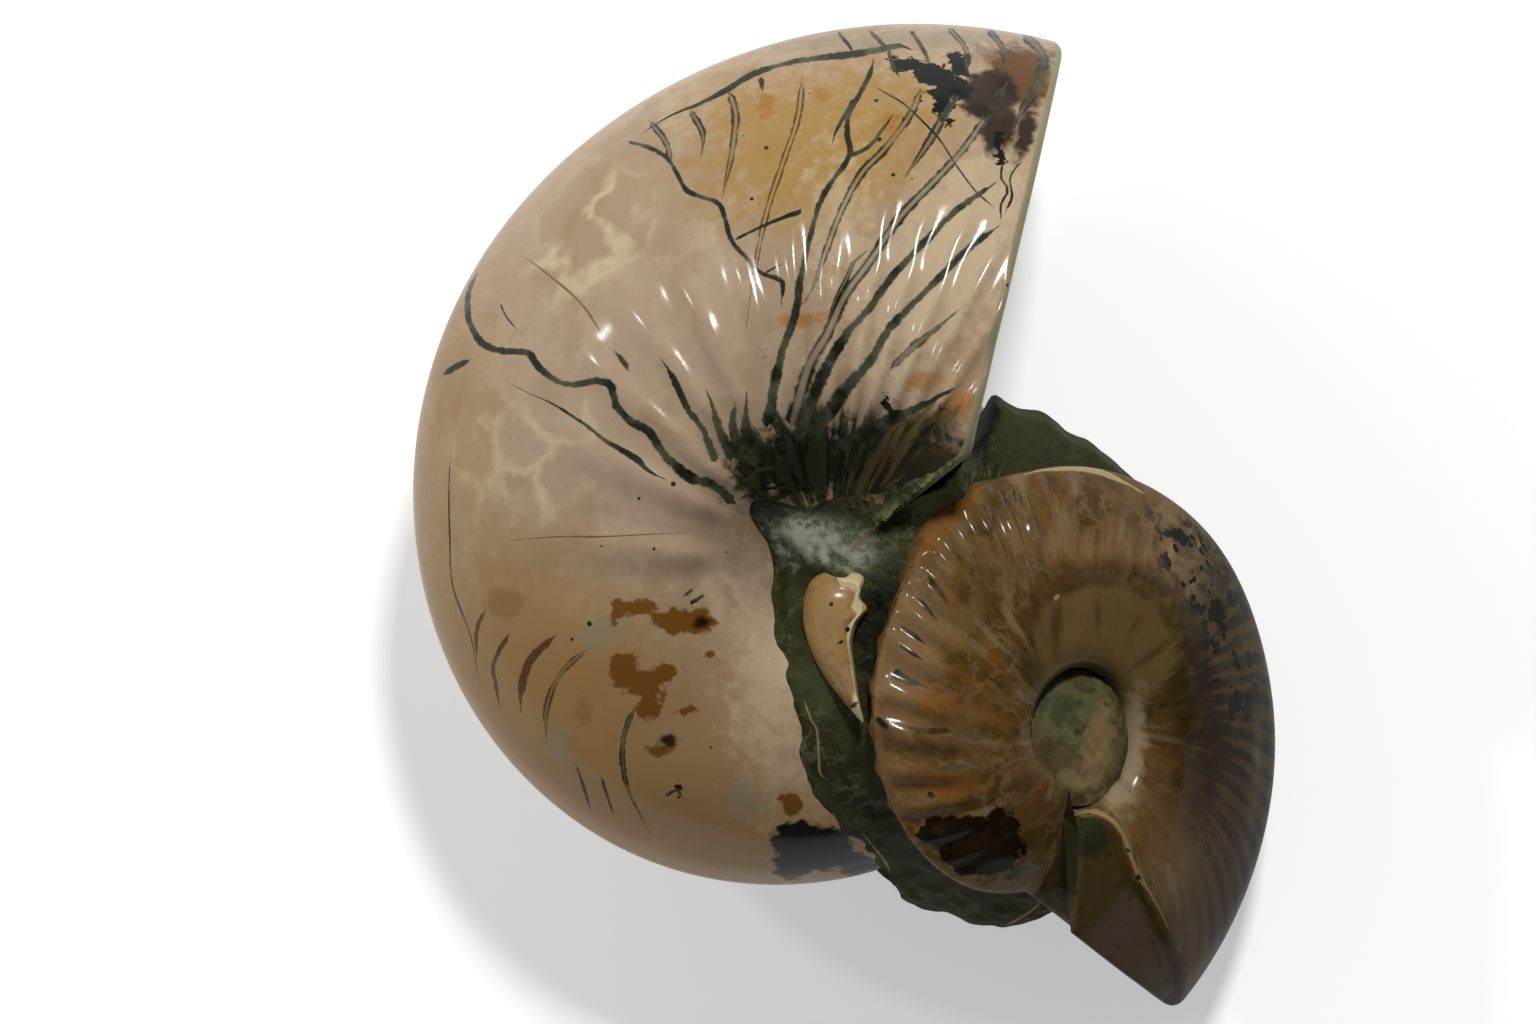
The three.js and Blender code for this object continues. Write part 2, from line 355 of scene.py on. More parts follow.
@dataclass(frozen=True)
class Coil:
    """A shell as a logarithmic spiral about its pole.

    Angles grow anticlockwise as seen from above, from the aperture back to the older whorls.
    A section point is the distance from the axis and the height over the mid-plane, as shares
    of the venter's radius there.
    """

    pole: tuple[float, float, float]
    lean: float
    lean_towards: float
    tip_radius: float
    tip_angle: float
    growth: float
    narrowing: float
    cut_through: tuple[float, float]
    cut_faces: float
    inner_cut: float
    floor: tuple[float, float]
    section: tuple[tuple[float, float], ...]

    @property
    def turned(self) -> Array:
        """Lean the axis, by Rodrigues' formula about a level hinge.

        Returns:
            The rotation matrix.
        """
        towards, lean = math.radians(self.lean_towards), math.radians(self.lean)
        hinge = np.array([-math.sin(towards), math.cos(towards), 0.0])
        cross = np.array([[0, -hinge[2], hinge[1]], [hinge[2], 0, -hinge[0]], [-hinge[1], hinge[0], 0]])
        return np.eye(3) + math.sin(lean) * cross + (1.0 - math.cos(lean)) * cross @ cross

    def venter(self, angle: Array) -> Array:
        """Return the venter's radius: the tip's times growth to the power of minus the turns past it."""
        turns = (angle - math.radians(self.tip_angle)) / TURN
        return self.tip_radius * self.growth ** (-turns)

    def place(self, reach: Array, angle: Array, height: Array) -> Array:
        """Turn coil coordinates into places.

        Args:
            reach: Distance from the axis.
            angle: Angle round it.
            height: Height over the mid-plane.

        Returns:
            The places, with x, y and z on the last axis.
        """
        local = np.stack([reach * np.cos(angle), reach * np.sin(angle), height], axis=-1)
        return local @ self.turned.T + np.array(self.pole)

    def local(self, points: Array) -> Array:
        """Return places as x, y and height from the pole, in the leaned frame."""
        return (points - np.array(self.pole)) @ self.turned

    def section_at(self, share: Array, height: Array, side: Array, angle: Array) -> tuple[Array, Array]:
        """Scale a section point to the whorl at an angle.

        Args:
            share: Distance from the axis as a share of the venter's radius.
            height: Height as a share of it.
            side: 1 on the upper side and -1 on the lower.
            angle: Angle along the coil.

        Returns:
            The distance from the axis and the height over the mid-plane.
        """
        venter = self.venter(angle)
        width = venter * (self.tip_radius / venter) ** self.narrowing
        floor = np.where(side > 0, *self.floor)
        return share * venter, blend(floor, height * width, ease(share, 0.0, FLOOR_ENDS))

    def cut_angle(self, share: Array, height: Array, side: Array, turns: int) -> Array:
        """Find where each row of section points meets the upright cut of the aperture.

        The angle and the place are brought into agreement by halving the step between them.

        Args:
            share: Distances from the axis as shares of the venter's radius.
            height: Heights as shares of it.
            side: 1 on the upper side and -1 on the lower.
            turns: How many whole turns back along the coil.

        Returns:
            The angle of each row.
        """
        facing = math.radians(self.cut_faces)
        outwards = np.array([math.cos(facing), math.sin(facing), 0.0])
        away = (np.array([*self.cut_through, 0.0]) - np.array([*self.pole[:2], 0.0])) @ outwards
        normal = outwards @ self.turned
        towards = math.atan2(normal[1], normal[0]) % TURN
        inner = math.radians(self.inner_cut)
        if inner < math.pi:
            towards -= TURN
        angle = np.full(share.shape, math.radians(self.tip_angle))
        for _ in range(CUT_ROUNDS):
            reach, rise = self.section_at(share, height, side, angle + turns * TURN)
            near = (away - normal[2] * rise) / np.hypot(*normal[:2]) / np.maximum(reach, 1e-6)
            on_plane = towards + np.arccos(np.clip(near, 0.0, 1.0))
            angle = blend(angle, np.maximum(on_plane, inner), 0.5)
        return angle + turns * TURN

    def top_height(self, plan: Array) -> Array:
        """Find the height of the upper side over places in plan.

        The height is put back into the leaned frame a few times, until it agrees.

        Args:
            plan: Places, with x and y on the last axis.

        Returns:
            The height over each place; beyond the venter, the mid-plane's.
        """
        shares, heights = np.array(self.section).T
        first = math.radians(self.inner_cut)
        z = np.full(plan.shape[:-1], self.pole[2])
        for _ in range(TOP_ROUNDS):
            local = self.local(np.concatenate([plan, z[..., None]], axis=-1))
            reach = np.hypot(local[..., 0], local[..., 1])
            angle = (np.arctan2(local[..., 1], local[..., 0]) - first) % TURN + first
            share = np.clip(reach / self.venter(angle), 0.0, 1.0)
            profile = np.interp(share, shares, heights)
            _, rise = self.section_at(share, profile, np.ones_like(share), angle)
            local[..., 2] = rise
            z = self.pole[2] + local @ self.turned.T[:, 2]
        return z


@dataclass(frozen=True)
class Surface:
    """A closed surface: rings of points between an upper pole and a lower one."""

    rings: Array
    top: Array
    bottom: Array

    def faces(self) -> list[list[int]]:
        """Join the rings with quads and the poles with triangles, all facing outwards.

        Returns:
            The faces, each as its points' numbers.
        """
        count, columns = self.rings.shape[:2]
        here = np.arange(columns)
        after = (here + 1) % columns
        upper = np.stack([np.full(columns, count * columns), here, after], axis=1)
        last = (count - 1) * columns
        lower = np.stack([np.full(columns, count * columns + 1), last + after, last + here], axis=1)
        ring = (np.arange(count - 1) * columns)[:, None]
        quads = np.stack(
            [ring + here, ring + columns + here, ring + columns + after, ring + after], axis=2
        ).reshape(-1, 4)
        return upper.tolist() + quads.tolist() + lower.tolist()

    def points(self) -> Array:
        """List the rings' points and then the poles."""
        return np.vstack([self.rings.reshape(-1, 3), self.top, self.bottom])

    def field(self, values: Array) -> Array:
        """List a value for each ring point, and for a pole its ring's mean."""
        return np.concatenate([values.ravel(), [values[0].mean(), values[-1].mean()]])


def make_piece(name: str, surface: Surface, fields: dict[str, Array], crease: float) -> bpy.types.Object:
    """Make an object of a closed surface, with a float attribute for each field.

    Args:
        name: The piece's name.
        surface: Its shape, in millimetres.
        fields: Values for each point, by attribute name.
        crease: Edges sharper than this many degrees stay sharp.

    Returns:
        The new object, at the origin, with its place in its mesh.
    """
    mesh = bpy.data.meshes.new(name)
    mesh.from_pydata((surface.points() - MIDDLE) / METRE, [], surface.faces())
    for field, values in fields.items():
        kind = {1: ("FLOAT", "value"), 3: ("FLOAT_VECTOR", "vector"), 4: ("FLOAT_COLOR", "color")}
        form, part = kind[values.shape[1] if values.ndim > 1 else 1]
        attribute = mesh.attributes.new(field, form, "POINT")
        attribute.data.foreach_set(part, values.astype(np.float32).ravel())
    mesh.shade_smooth()
    mesh.set_sharp_from_angle(angle=math.radians(crease))
    piece = bpy.data.objects.new(name, mesh)
    bpy.context.scene.collection.objects.link(piece)
    return piece


def linear(colour: str) -> tuple[float, float, float, float]:
    """Turn an sRGB hex colour such as #b19d81 into linear light, by the sRGB curve.

    Args:
        colour: The hex colour.

    Returns:
        Red, green, blue and an alpha of 1.
    """
    parts = [int(colour[i : i + 2], 16) / 255 for i in (1, 3, 5)]
    light = [p / 12.92 if p <= 0.04045 else ((p + 0.055) / 1.055) ** 2.4 for p in parts]
    return (*light, 1.0)


class Kind(Enum):
    """A kind of node: its type, settings, inputs in the order of their values, and output."""

    PLACE = ("TexCoord", {}, (), "Object")
    DIRECTION = ("TexCoord", {}, (), "Generated")
    HEIGHT = ("SeparateXYZ", {}, (0,), 2)
    FACING = ("VectorMath", {"operation": "DOT_PRODUCT"}, (0, 1), "Value")
    FIELD = ("Attribute", {}, (), "Fac")
    FLOW = ("Attribute", {}, (), "Vector")
    VEIN = ("Attribute", {}, (), "Color")
    PARTS = ("SeparateColor", {}, (0,), 0)
    NOISE = ("TexNoise", {}, ("Vector", "Scale", "Detail", "Roughness"), "Fac")
    BEND = ("TexNoise", {}, ("Vector", "Scale", "Detail"), "Color")
    CELLS = ("TexVoronoi", {}, ("Vector", "Scale"), "Distance")
    MATHS = ("Math", {}, range(3), 0)
    VECTORS = ("VectorMath", {}, range(3), 0)
    EASE = ("MapRange", {"interpolation_type": "SMOOTHSTEP"}, range(5), 0)
    MIX = ("Mix", {"data_type": "RGBA"}, (0, 6, 7), 2)
    BUMP = ("Bump", {}, ("Height", "Strength", "Distance"), 0)
    SURFACE = ("BsdfPrincipled", {}, (), 0)
    GLOW = ("Background", {}, ("Color", "Strength"), 0)
    MATERIAL = ("OutputMaterial", {}, ("Surface",), None)
    WORLD = ("OutputWorld", {}, ("Surface",), None)


def add_node(
    tree: Tree, kind: Kind, *values: object, inputs: dict | None = None, **settings: object
) -> Socket | None:
    """Add a node with its settings and its links.

    Args:
        tree: The node tree.
        kind: The kind of node.
        *values: Values or other nodes' sockets, in the order of the kind's inputs.
        inputs: More of them, by the inputs' names.
        **settings: The node's properties, beside those of the kind.

    Returns:
        The kind's output, or None where it has none.
    """
    form, fixed, order, output = kind.value
    node = tree.nodes.new(f"ShaderNode{form}")
    for setting, value in (fixed | settings).items():
        setattr(node, setting, value)
    for socket, value in (dict(zip(order, values)) | (inputs or {})).items():
        if isinstance(value, Socket):
            tree.links.new(value, node.inputs[socket])
        else:
            node.inputs[socket].default_value = value
    return None if output is None else node.outputs[output]


@dataclass(frozen=True)
class Layer:
    """A colour that lies over the ones before it, wherever its field passes an edge.

    Noise is added to the field, so that the edge is as ragged as it says in the field's own
    millimetres, and the colour comes in over the soft width. A negative raggedness turns the
    noise over, so that two layers of one field don't share an edge.
    """

    field: str
    colour: str
    edge: float = 0.0
    soft: float = 0.5
    ragged: float = 0.6
    strength: float = 1.0
    grain: Grain = Grain.ROUND


@dataclass(frozen=True)
class Streak:
    """A colour in streaks along the ribs, where a stretched noise lies between two values."""

    colour: str
    across: float
    along: float
    low: float
    high: float
    strength: float


@dataclass(frozen=True)
class Speckle:
    """Dark cells in a pale net, within a field's edge, in patches some cells wide."""

    field: str
    colour: str
    size: float
    fill: float
    patch_size: float = 2.5
    patches: tuple[float, float] = (0.35, 0.7)
    fades_in: tuple[float, float] = (-1.0, 3.0)


@dataclass(frozen=True)
class Net:
    """Thin pale seams between cells of a size in millimetres, within a field's edge.

    The cells are bent by a noise, and the seams have gaps, both in proportion to their size.
    """

    field: str
    colour: str
    size: float
    width: float
    strength: float
    bend: float = 0.9
    bend_size: float = 0.8
    gap_size: float = 1.4
    gaps: tuple[float, float] = (0.42, 0.56)
    fades_in: tuple[float, float] = (-1.0, 4.0)


# The sizes of the noises that roughen the layers' edges: round lumps in millimetres, and lumps
# across and along the ribs. Noise, less its middle and times its spread, is about -1 to 1.
RAGGED_SIZE = 2.2
FLOWING_SCALE = (1.6, 0.7)
NOISE_SPREAD = 5.0
# How strong each finer part of a noise is beside the one before it.
ROUGH = 0.6
# Where the noise lies between the base and the cloud colour, and the same for the mottles, with
# their size as a share of the clouds' and their strength.
DRIFT = (0.35, 0.65)
MOTTLE = (0.45, 0.7)
MOTTLE_SIZE = 0.22
MOTTLE_STRENGTH = 0.5
# The half width of a pale seam in the noise, and where the drift lets the seams show.
SEAM_WIDTH = 0.045
SEAMS_SHOW = (0.42, 0.58, 0.15, 1.0)
# What is left of the coat where the surface is dull, and how sharply it turns dull.
DULL_COAT = 0.2
DULL_SOFT = 0.8


@dataclass(frozen=True)
class Finish:
    """A stone finish: a clouded base colour, streaks, layers and veins over it, and a surface."""

    name: str
    base: str
    cloud: str
    cloud_size: float
    pale: str
    pale_size: float
    pale_strength: float
    roughness: float
    coat: float
    polish: float
    specular: float
    grain_size: float
    grain_depth: float
    layers: tuple[Layer, ...] = ()
    streaks: tuple[Streak, ...] = ()
    speckles: tuple[Speckle, ...] = ()
    nets: tuple[Net, ...] = ()
    dull_field: str | None = None
    dull: float = 0.6
    vein_layers: int = 0

    def material(self) -> bpy.types.Material:
        """Build the finish: its clouds, streaks, nets, layers, speckles and veins, in this order.

        Returns:
            The material.
        """
        material = bpy.data.materials.new(self.name)
        material.use_nodes = True
        tree = material.node_tree
        tree.nodes.clear()
        place = add_node(tree, Kind.PLACE)
        flow = add_node(tree, Kind.FLOW, attribute_name="flow")
        ragged = add_node(tree, Kind.NOISE, place, METRE / RAGGED_SIZE, 5.0, ROUGH)
        flowing = self._drawn_out(tree, flow, *FLOWING_SCALE)
        colour = self._clouded(tree, place)
        for streak in self.streaks:
            wave = self._drawn_out(tree, flow, streak.across, streak.along)
            share = add_node(tree, Kind.EASE, wave, streak.low, streak.high, 0.0, streak.strength)
            colour = add_node(tree, Kind.MIX, share, colour, linear(streak.colour))
        for net in self.nets:
            colour = self._netted(tree, colour, place, net)
        for layer in self.layers:
            mask = self._mask(tree, layer, flowing if layer.grain is Grain.FLOWING else ragged)
            colour = add_node(tree, Kind.MIX, mask, colour, linear(layer.colour))
        for speckle in self.speckles:
            colour = self._speckled(tree, colour, place, speckle)
        for layer in range(self.vein_layers):
            colour = self._veined(tree, colour, place, layer)
        roughness: float | Socket = self.roughness
        film: float | Socket = self.coat
        if self.dull_field:
            mask = self._mask(tree, Layer(self.dull_field, "#000000", soft=DULL_SOFT), ragged)
            roughness = add_node(tree, Kind.EASE, mask, 0.0, 1.0, self.roughness, self.dull)
            film = add_node(tree, Kind.EASE, mask, 0.0, 1.0, self.coat, DULL_COAT * self.coat)
        grain = add_node(tree, Kind.NOISE, place, METRE / self.grain_size, 6.0, ROUGH)
        stone = {
            "Base Color": colour,
            "Roughness": roughness,
            "IOR": 1.55,
            "Specular IOR Level": self.specular,
            "Coat Weight": film,
            "Coat Roughness": self.polish,
            "Coat IOR": 1.5,
            "Normal": add_node(tree, Kind.BUMP, grain, 1.0, self.grain_depth / METRE),
        }
        add_node(tree, Kind.MATERIAL, add_node(tree, Kind.SURFACE, inputs=stone))
        return material

    @staticmethod
    def _drawn_out(tree: Tree, flow: Socket, across: float, along: float) -> Socket:
        """Make a noise of lumps across and along the ribs, from the flow coordinates."""
        scaled = add_node(tree, Kind.VECTORS, flow, (across, along, 1.0), operation="MULTIPLY")
        return add_node(tree, Kind.NOISE, scaled, 1.0, 4.0, ROUGH)

    def _clouded(self, tree: Tree, place: Socket) -> Socket:
        """Cloud the base colour: broad drifts, small mottles, and a net of paler seams.

        Args:
            tree: The material's nodes.
            place: The object coordinates.

        Returns:
            The clouded colour.
        """
        drift = add_node(tree, Kind.NOISE, place, METRE / self.cloud_size, 3.0, ROUGH)
        clouded = add_node(tree, Kind.EASE, drift, *DRIFT, 0.0, 1.0)
        colour = add_node(tree, Kind.MIX, clouded, linear(self.base), linear(self.cloud))
        mottle_size = MOTTLE_SIZE * self.cloud_size
        mottle = add_node(tree, Kind.NOISE, place, METRE / mottle_size, 4.0, ROUGH)
        mottled = add_node(tree, Kind.EASE, mottle, *MOTTLE, 0.0, MOTTLE_STRENGTH)
        colour = add_node(tree, Kind.MIX, mottled, colour, linear(self.cloud))
        seam = add_node(tree, Kind.NOISE, place, METRE / self.pale_size, 6.0, ROUGH)
        offset = add_node(tree, Kind.MATHS, seam, 0.5, operation="SUBTRACT")
        away = add_node(tree, Kind.MATHS, offset, operation="ABSOLUTE")
        net = add_node(tree, Kind.EASE, away, 0.0, SEAM_WIDTH, self.pale_strength, 0.0)
        patchy = add_node(tree, Kind.EASE, drift, *SEAMS_SHOW)
        share = add_node(tree, Kind.MATHS, net, patchy, operation="MULTIPLY")
        return add_node(tree, Kind.MIX, share, colour, linear(self.pale))

    @staticmethod
    def _mask(tree: Tree, layer: Layer, ragged: Socket) -> Socket:
        """Find how far a layer covers: 0 before its edge and its strength past it.

        Args:
            tree: The material's nodes.
            layer: The layer.
            ragged: The noise that roughens its edge.

        Returns:
            The layer's share of the colour.
        """
        field = add_node(tree, Kind.FIELD, attribute_name=layer.field)
        spread = NOISE_SPREAD * layer.ragged
        rough = add_node(tree, Kind.MATHS, ragged, spread, -0.5 * spread, operation="MULTIPLY_ADD")
        edge = add_node(tree, Kind.MATHS, field, rough, operation="ADD")
        ends = (layer.edge - layer.soft / 2, layer.edge + layer.soft / 2)
        return add_node(tree, Kind.EASE, edge, *ends, 0.0, layer.strength)

    @staticmethod
    def _netted(tree: Tree, colour: Socket, place: Socket, net: Net) -> Socket:
        """Draw seams along the borders of bent cells, fading in and out.

        Args:
            tree: The material's nodes.
            colour: The colour below.
            place: The object coordinates.
            net: The net.

        Returns:
            The colour with the seams.
        """
        bend = add_node(tree, Kind.BEND, place, METRE / (net.bend_size * net.size), 3.0)
        far = (net.bend * net.size / METRE,) * 3
        moved = add_node(tree, Kind.VECTORS, bend, far, place, operation="MULTIPLY_ADD")
        away = add_node(tree, Kind.CELLS, moved, METRE / net.size, feature="DISTANCE_TO_EDGE")
        seam = add_node(tree, Kind.EASE, away, 0.0, net.width / net.size, 1.0, 0.0)
        gaps = add_node(tree, Kind.NOISE, place, METRE / (net.gap_size * net.size), 3.0, ROUGH)
        broken = add_node(tree, Kind.EASE, gaps, *net.gaps, 0.0, net.strength)
        field = add_node(tree, Kind.FIELD, attribute_name=net.field)
        inside = add_node(tree, Kind.EASE, field, *net.fades_in, 0.0, 1.0)
        shown = add_node(tree, Kind.MATHS, seam, broken, operation="MULTIPLY")
        mask = add_node(tree, Kind.MATHS, shown, inside, operation="MULTIPLY")
        return add_node(tree, Kind.MIX, mask, colour, linear(net.colour))

    @staticmethod
    def _speckled(tree: Tree, colour: Socket, place: Socket, speckle: Speckle) -> Socket:
        """Darken the cells' middles, and leave the net between them.

        Args:
            tree: The material's nodes.
            colour: The colour below.
            place: The object coordinates.
            speckle: The speckle.

        Returns:
            The colour with the dark cells.
        """
        near = add_node(tree, Kind.CELLS, place, METRE / speckle.size, feature="F1")
        patch_size = speckle.patch_size * speckle.size
        patches = add_node(tree, Kind.NOISE, place, METRE / patch_size, 2.0, ROUGH)
        size = add_node(tree, Kind.EASE, patches, *speckle.patches, 0.0, speckle.fill)
        cell = add_node(tree, Kind.MATHS, near, size, operation="LESS_THAN")
        field = add_node(tree, Kind.FIELD, attribute_name=speckle.field)
        inside = add_node(tree, Kind.EASE, field, *speckle.fades_in, 0.0, 1.0)
        mask = add_node(tree, Kind.MATHS, cell, inside, operation="MULTIPLY")
        return add_node(tree, Kind.MIX, mask, colour, linear(speckle.colour))

    @staticmethod
    def _veined(tree: Tree, colour: Socket, place: Socket, layer: int) -> Socket:
        """Draw a layer of veins: dark within a half width, paler in the core of parted ones.

        Args:
            tree: The material's nodes.
            colour: The colour below.
            place: The object coordinates.
            layer: The layer's number.

        Returns:
            The colour with the veins.
        """
        read = add_node(tree, Kind.VEIN, attribute_name=f"vein_{layer}")
        offset, reach, core = add_node(tree, Kind.PARTS, read).node.outputs[:3]
        tone = read.node.outputs["Alpha"]
        away = add_node(tree, Kind.MATHS, offset, operation="ABSOLUTE")
        lumps = add_node(tree, Kind.NOISE, place, METRE / VEIN_LUMPS[0], 3.0, ROUGH)
        grain = add_node(tree, Kind.NOISE, place, METRE / VEIN_GRAIN[0], 5.0, ROUGH)
        uneven = add_node(tree, Kind.MATHS, grain, VEIN_GRAIN[1], away, operation="MULTIPLY_ADD")
        edge = add_node(tree, Kind.MATHS, lumps, VEIN_LUMPS[1], uneven, operation="MULTIPLY_ADD")
        line = add_node(tree, Kind.EASE, edge, *VEIN_EDGE, 1.0, 0.0)
        middle = add_node(tree, Kind.EASE, away, *VEIN_CORE, 1.0, 0.0)
        parted = add_node(tree, Kind.MATHS, middle, core, operation="MULTIPLY")
        whole = add_node(tree, Kind.MATHS, 1.0, parted, operation="SUBTRACT")
        dark = add_node(tree, Kind.MATHS, line, whole, operation="MULTIPLY")
        mask = add_node(tree, Kind.MATHS, dark, reach, operation="MULTIPLY")
        paler = add_node(tree, Kind.EASE, lumps, *VEIN_PALE_PLACES, 0.0, 1.0)
        green = add_node(tree, Kind.MIX, paler, linear(VEIN_GREEN), linear(VEIN_PALE_GREEN))
        to_brown = add_node(tree, Kind.MATHS, tone, 1.0, operation="MINIMUM")
        brown = add_node(tree, Kind.MIX, to_brown, green, linear(VEIN_BROWN))
        past_brown = add_node(tree, Kind.MATHS, tone, 1.0, operation="SUBTRACT")
        to_cream = add_node(tree, Kind.MATHS, past_brown, 0.0, operation="MAXIMUM")
        stone = add_node(tree, Kind.MIX, to_cream, brown, linear(VEIN_CREAM))
        return add_node(tree, Kind.MIX, mask, colour, stone)


NAUTILOID_COIL = Coil(
    pole=(-2, -7.2, 38.5),
    lean=2,
    lean_towards=258,
    tip_radius=92.7,
    tip_angle=59,
    growth=2.75,
    narrowing=0,
    cut_through=(19.6, 10.8),
    cut_faces=-13.9,
    inner_cut=40,
    floor=(21, -17),
    section=(
        (0, 0.25), (0.1, 0.26), (0.15, 0.285), (0.2, 0.335), (0.26, 0.4), (0.33, 0.45), (0.43, 0.464),
        (0.56, 0.443), (0.7, 0.388), (0.83, 0.298), (0.925, 0.185), (0.98, 0.085), (1, 0),
    ),
)

AMMONITE_COIL = Coil(
    pole=(30.6, -32.7, 48),
    lean=38.5,
    lean_towards=-7,
    tip_radius=58.3,
    tip_angle=292,
    growth=2.29,
    narrowing=0.4,
    cut_through=(34, -63.6),
    cut_faces=230.7,
    inner_cut=266,
    floor=(8, -3),
    section=(
        (0, 0.15), (0.06, 0.152), (0.11, 0.158), (0.155, 0.158), (0.19, 0.15), (0.212, 0.152),
        (0.232, 0.195), (0.262, 0.228), (0.31, 0.246), (0.4, 0.252), (0.56, 0.233), (0.74, 0.18),
        (0.88, 0.11), (0.97, 0.045), (1, 0),
    ),
)


@dataclass(frozen=True)
class ShellGrid:
    """A coil's surface as rings of section points by columns along the coil.

    The columns run once round from the aperture, and then back to it across the cut face.
    """

    coil: Coil
    share: Array
    height: Array
    side: Array
    out_reach: Array
    out_height: Array
    angle: Array
    from_cut: Array
    face: Array

    @classmethod
    def build(
        cls, coil: Coil, rows: tuple[int, int], columns: int, face_columns: int, round_tip: float
    ) -> "ShellGrid":
        """Lay out the grid, with its columns closer together in the newer half of the whorl.

        Args:
            coil: The shell's coil.
            rows: Rows on the upper side and on the lower, evenly along the section's curve.
            columns: Columns along the coil.
            face_columns: Columns across the cut face.
            round_tip: How far the venter's end is rounded back from the cut, in millimetres.

        Returns:
            The grid, without relief.
        """
        upper = np.array(coil.section, float)
        around = np.vstack([upper, (upper[::-1] * (1, -1))[1:]])
        fine = curve_through(around, 24)
        travelled = np.concatenate([[0.0], np.cumsum(np.linalg.norm(np.diff(fine, axis=0), axis=1))])
        spaced = [np.linspace(0.0, 0.5, rows[0], endpoint=False), np.linspace(0.5, 1.0, rows[1])]
        at = np.concatenate(spaced) * travelled[-1]
        profile = np.stack([np.interp(at, travelled, values) for values in fine.T], axis=1)
        side = np.where(np.arange(len(profile)) < rows[0], 1.0, -1.0)[1:-1]
        slope = np.gradient(profile, at, axis=0)[1:-1]
        profile = profile[1:-1]
        slope /= np.linalg.norm(slope, axis=1, keepdims=True)
        share, height = profile.T
        start = coil.cut_angle(share, height, side, 0)
        at_tip = np.clip(1.0 - (1.0 - share) * coil.venter(start) / round_tip, 0.0, 1.0)
        start = start + round_tip * (1.0 - np.sqrt(1.0 - at_tip**2)) / (share * coil.venter(start))
        end = coil.cut_angle(share, height, side, 1)
        even = np.linspace(0.0, 1.0, columns - len(EDGE_COLUMNS))
        others = EVEN_SHARE * even + (1.0 - EVEN_SHARE) * even**UNEVEN_POWER
        turned = np.concatenate([EDGE_COLUMNS, blend(EDGE_ENDS, 1.0, others)])
        angle = blend(start[:, None], end[:, None], turned[None, :])
        ones = np.ones_like(angle)
        from_cut = (angle - start[:, None]) * share[:, None] * coil.venter(angle)
        return cls(
            coil,
            share[:, None] * ones,
            height[:, None] * ones,
            side[:, None] * ones,
            -slope[:, 1:] * ones,
            slope[:, :1] * ones,
            angle,
            from_cut,
            np.linspace(0.0, 1.0, face_columns + 2)[1:-1],
        )

    def points(self, relief: Array, round_edge: float) -> Array:
        """Raise the grid by a relief and round the aperture's edge.

        The relief moves a point along the section's outward direction. Within the rounding's
        radius of the cut, the point sinks by what a quarter circle takes off.

        Args:
            relief: Heights of the relief, in millimetres.
            round_edge: The radius of the aperture's rounded edge.

        Returns:
            The places of the grid's points.
        """
        near = np.clip(round_edge - self.from_cut, 0.0, round_edge)
        sunk = round_edge - np.sqrt(round_edge**2 - near**2)
        reach, height = self.coil.section_at(self.share, self.height, self.side, self.angle)
        lift = relief - sunk * ease(self.share, 0.02, 0.2)
        return self.coil.place(reach + lift * self.out_reach, self.angle, height + lift * self.out_height)

    def close(self, points: Array) -> tuple[Surface, Array]:
        """Close the grid across its cut face.

        Args:
            points: The places of the grid's points.

        Returns:
            The surface, and how far across the cut face each point is, 0 off it.
        """
        face = blend(points[:, -1:, :], points[:, :1, :], self.face[None, :, None])
        rings = np.concatenate([points, face], axis=1)
        across = np.ones((len(points), 1)) * self.face
        on_face = np.concatenate([np.zeros(points.shape[:2]), across], axis=1)
        top = self.coil.place(np.zeros(()), np.zeros(()), np.asarray(self.coil.floor[0], float))
        bottom = self.coil.place(np.zeros(()), np.zeros(()), np.asarray(self.coil.floor[1], float))
        return Surface(rings, top, bottom), on_face

    def spread(self, values: Array) -> Array:
        """Carry a field of the columns over the cut face, in a straight line."""
        face = blend(values[:, -1:], values[:, :1], self.face[None, :])
        return np.concatenate([values, face], axis=1)


def bed_height(x: Array, y: Array) -> Array:
    """Find the height of the ammonite's bed: its mid-plane, lowered by 3 mm.

    Args:
        x: Places across.
        y: Places along.

    Returns:
        The bed's height at each place.
    """
    px, py, pz = AMMONITE_COIL.pole
    towards = math.radians(AMMONITE_COIL.lean_towards)
    along = (x - px) * math.cos(towards) + (y - py) * math.sin(towards)
    return pz - 3.0 - along * math.tan(math.radians(AMMONITE_COIL.lean))


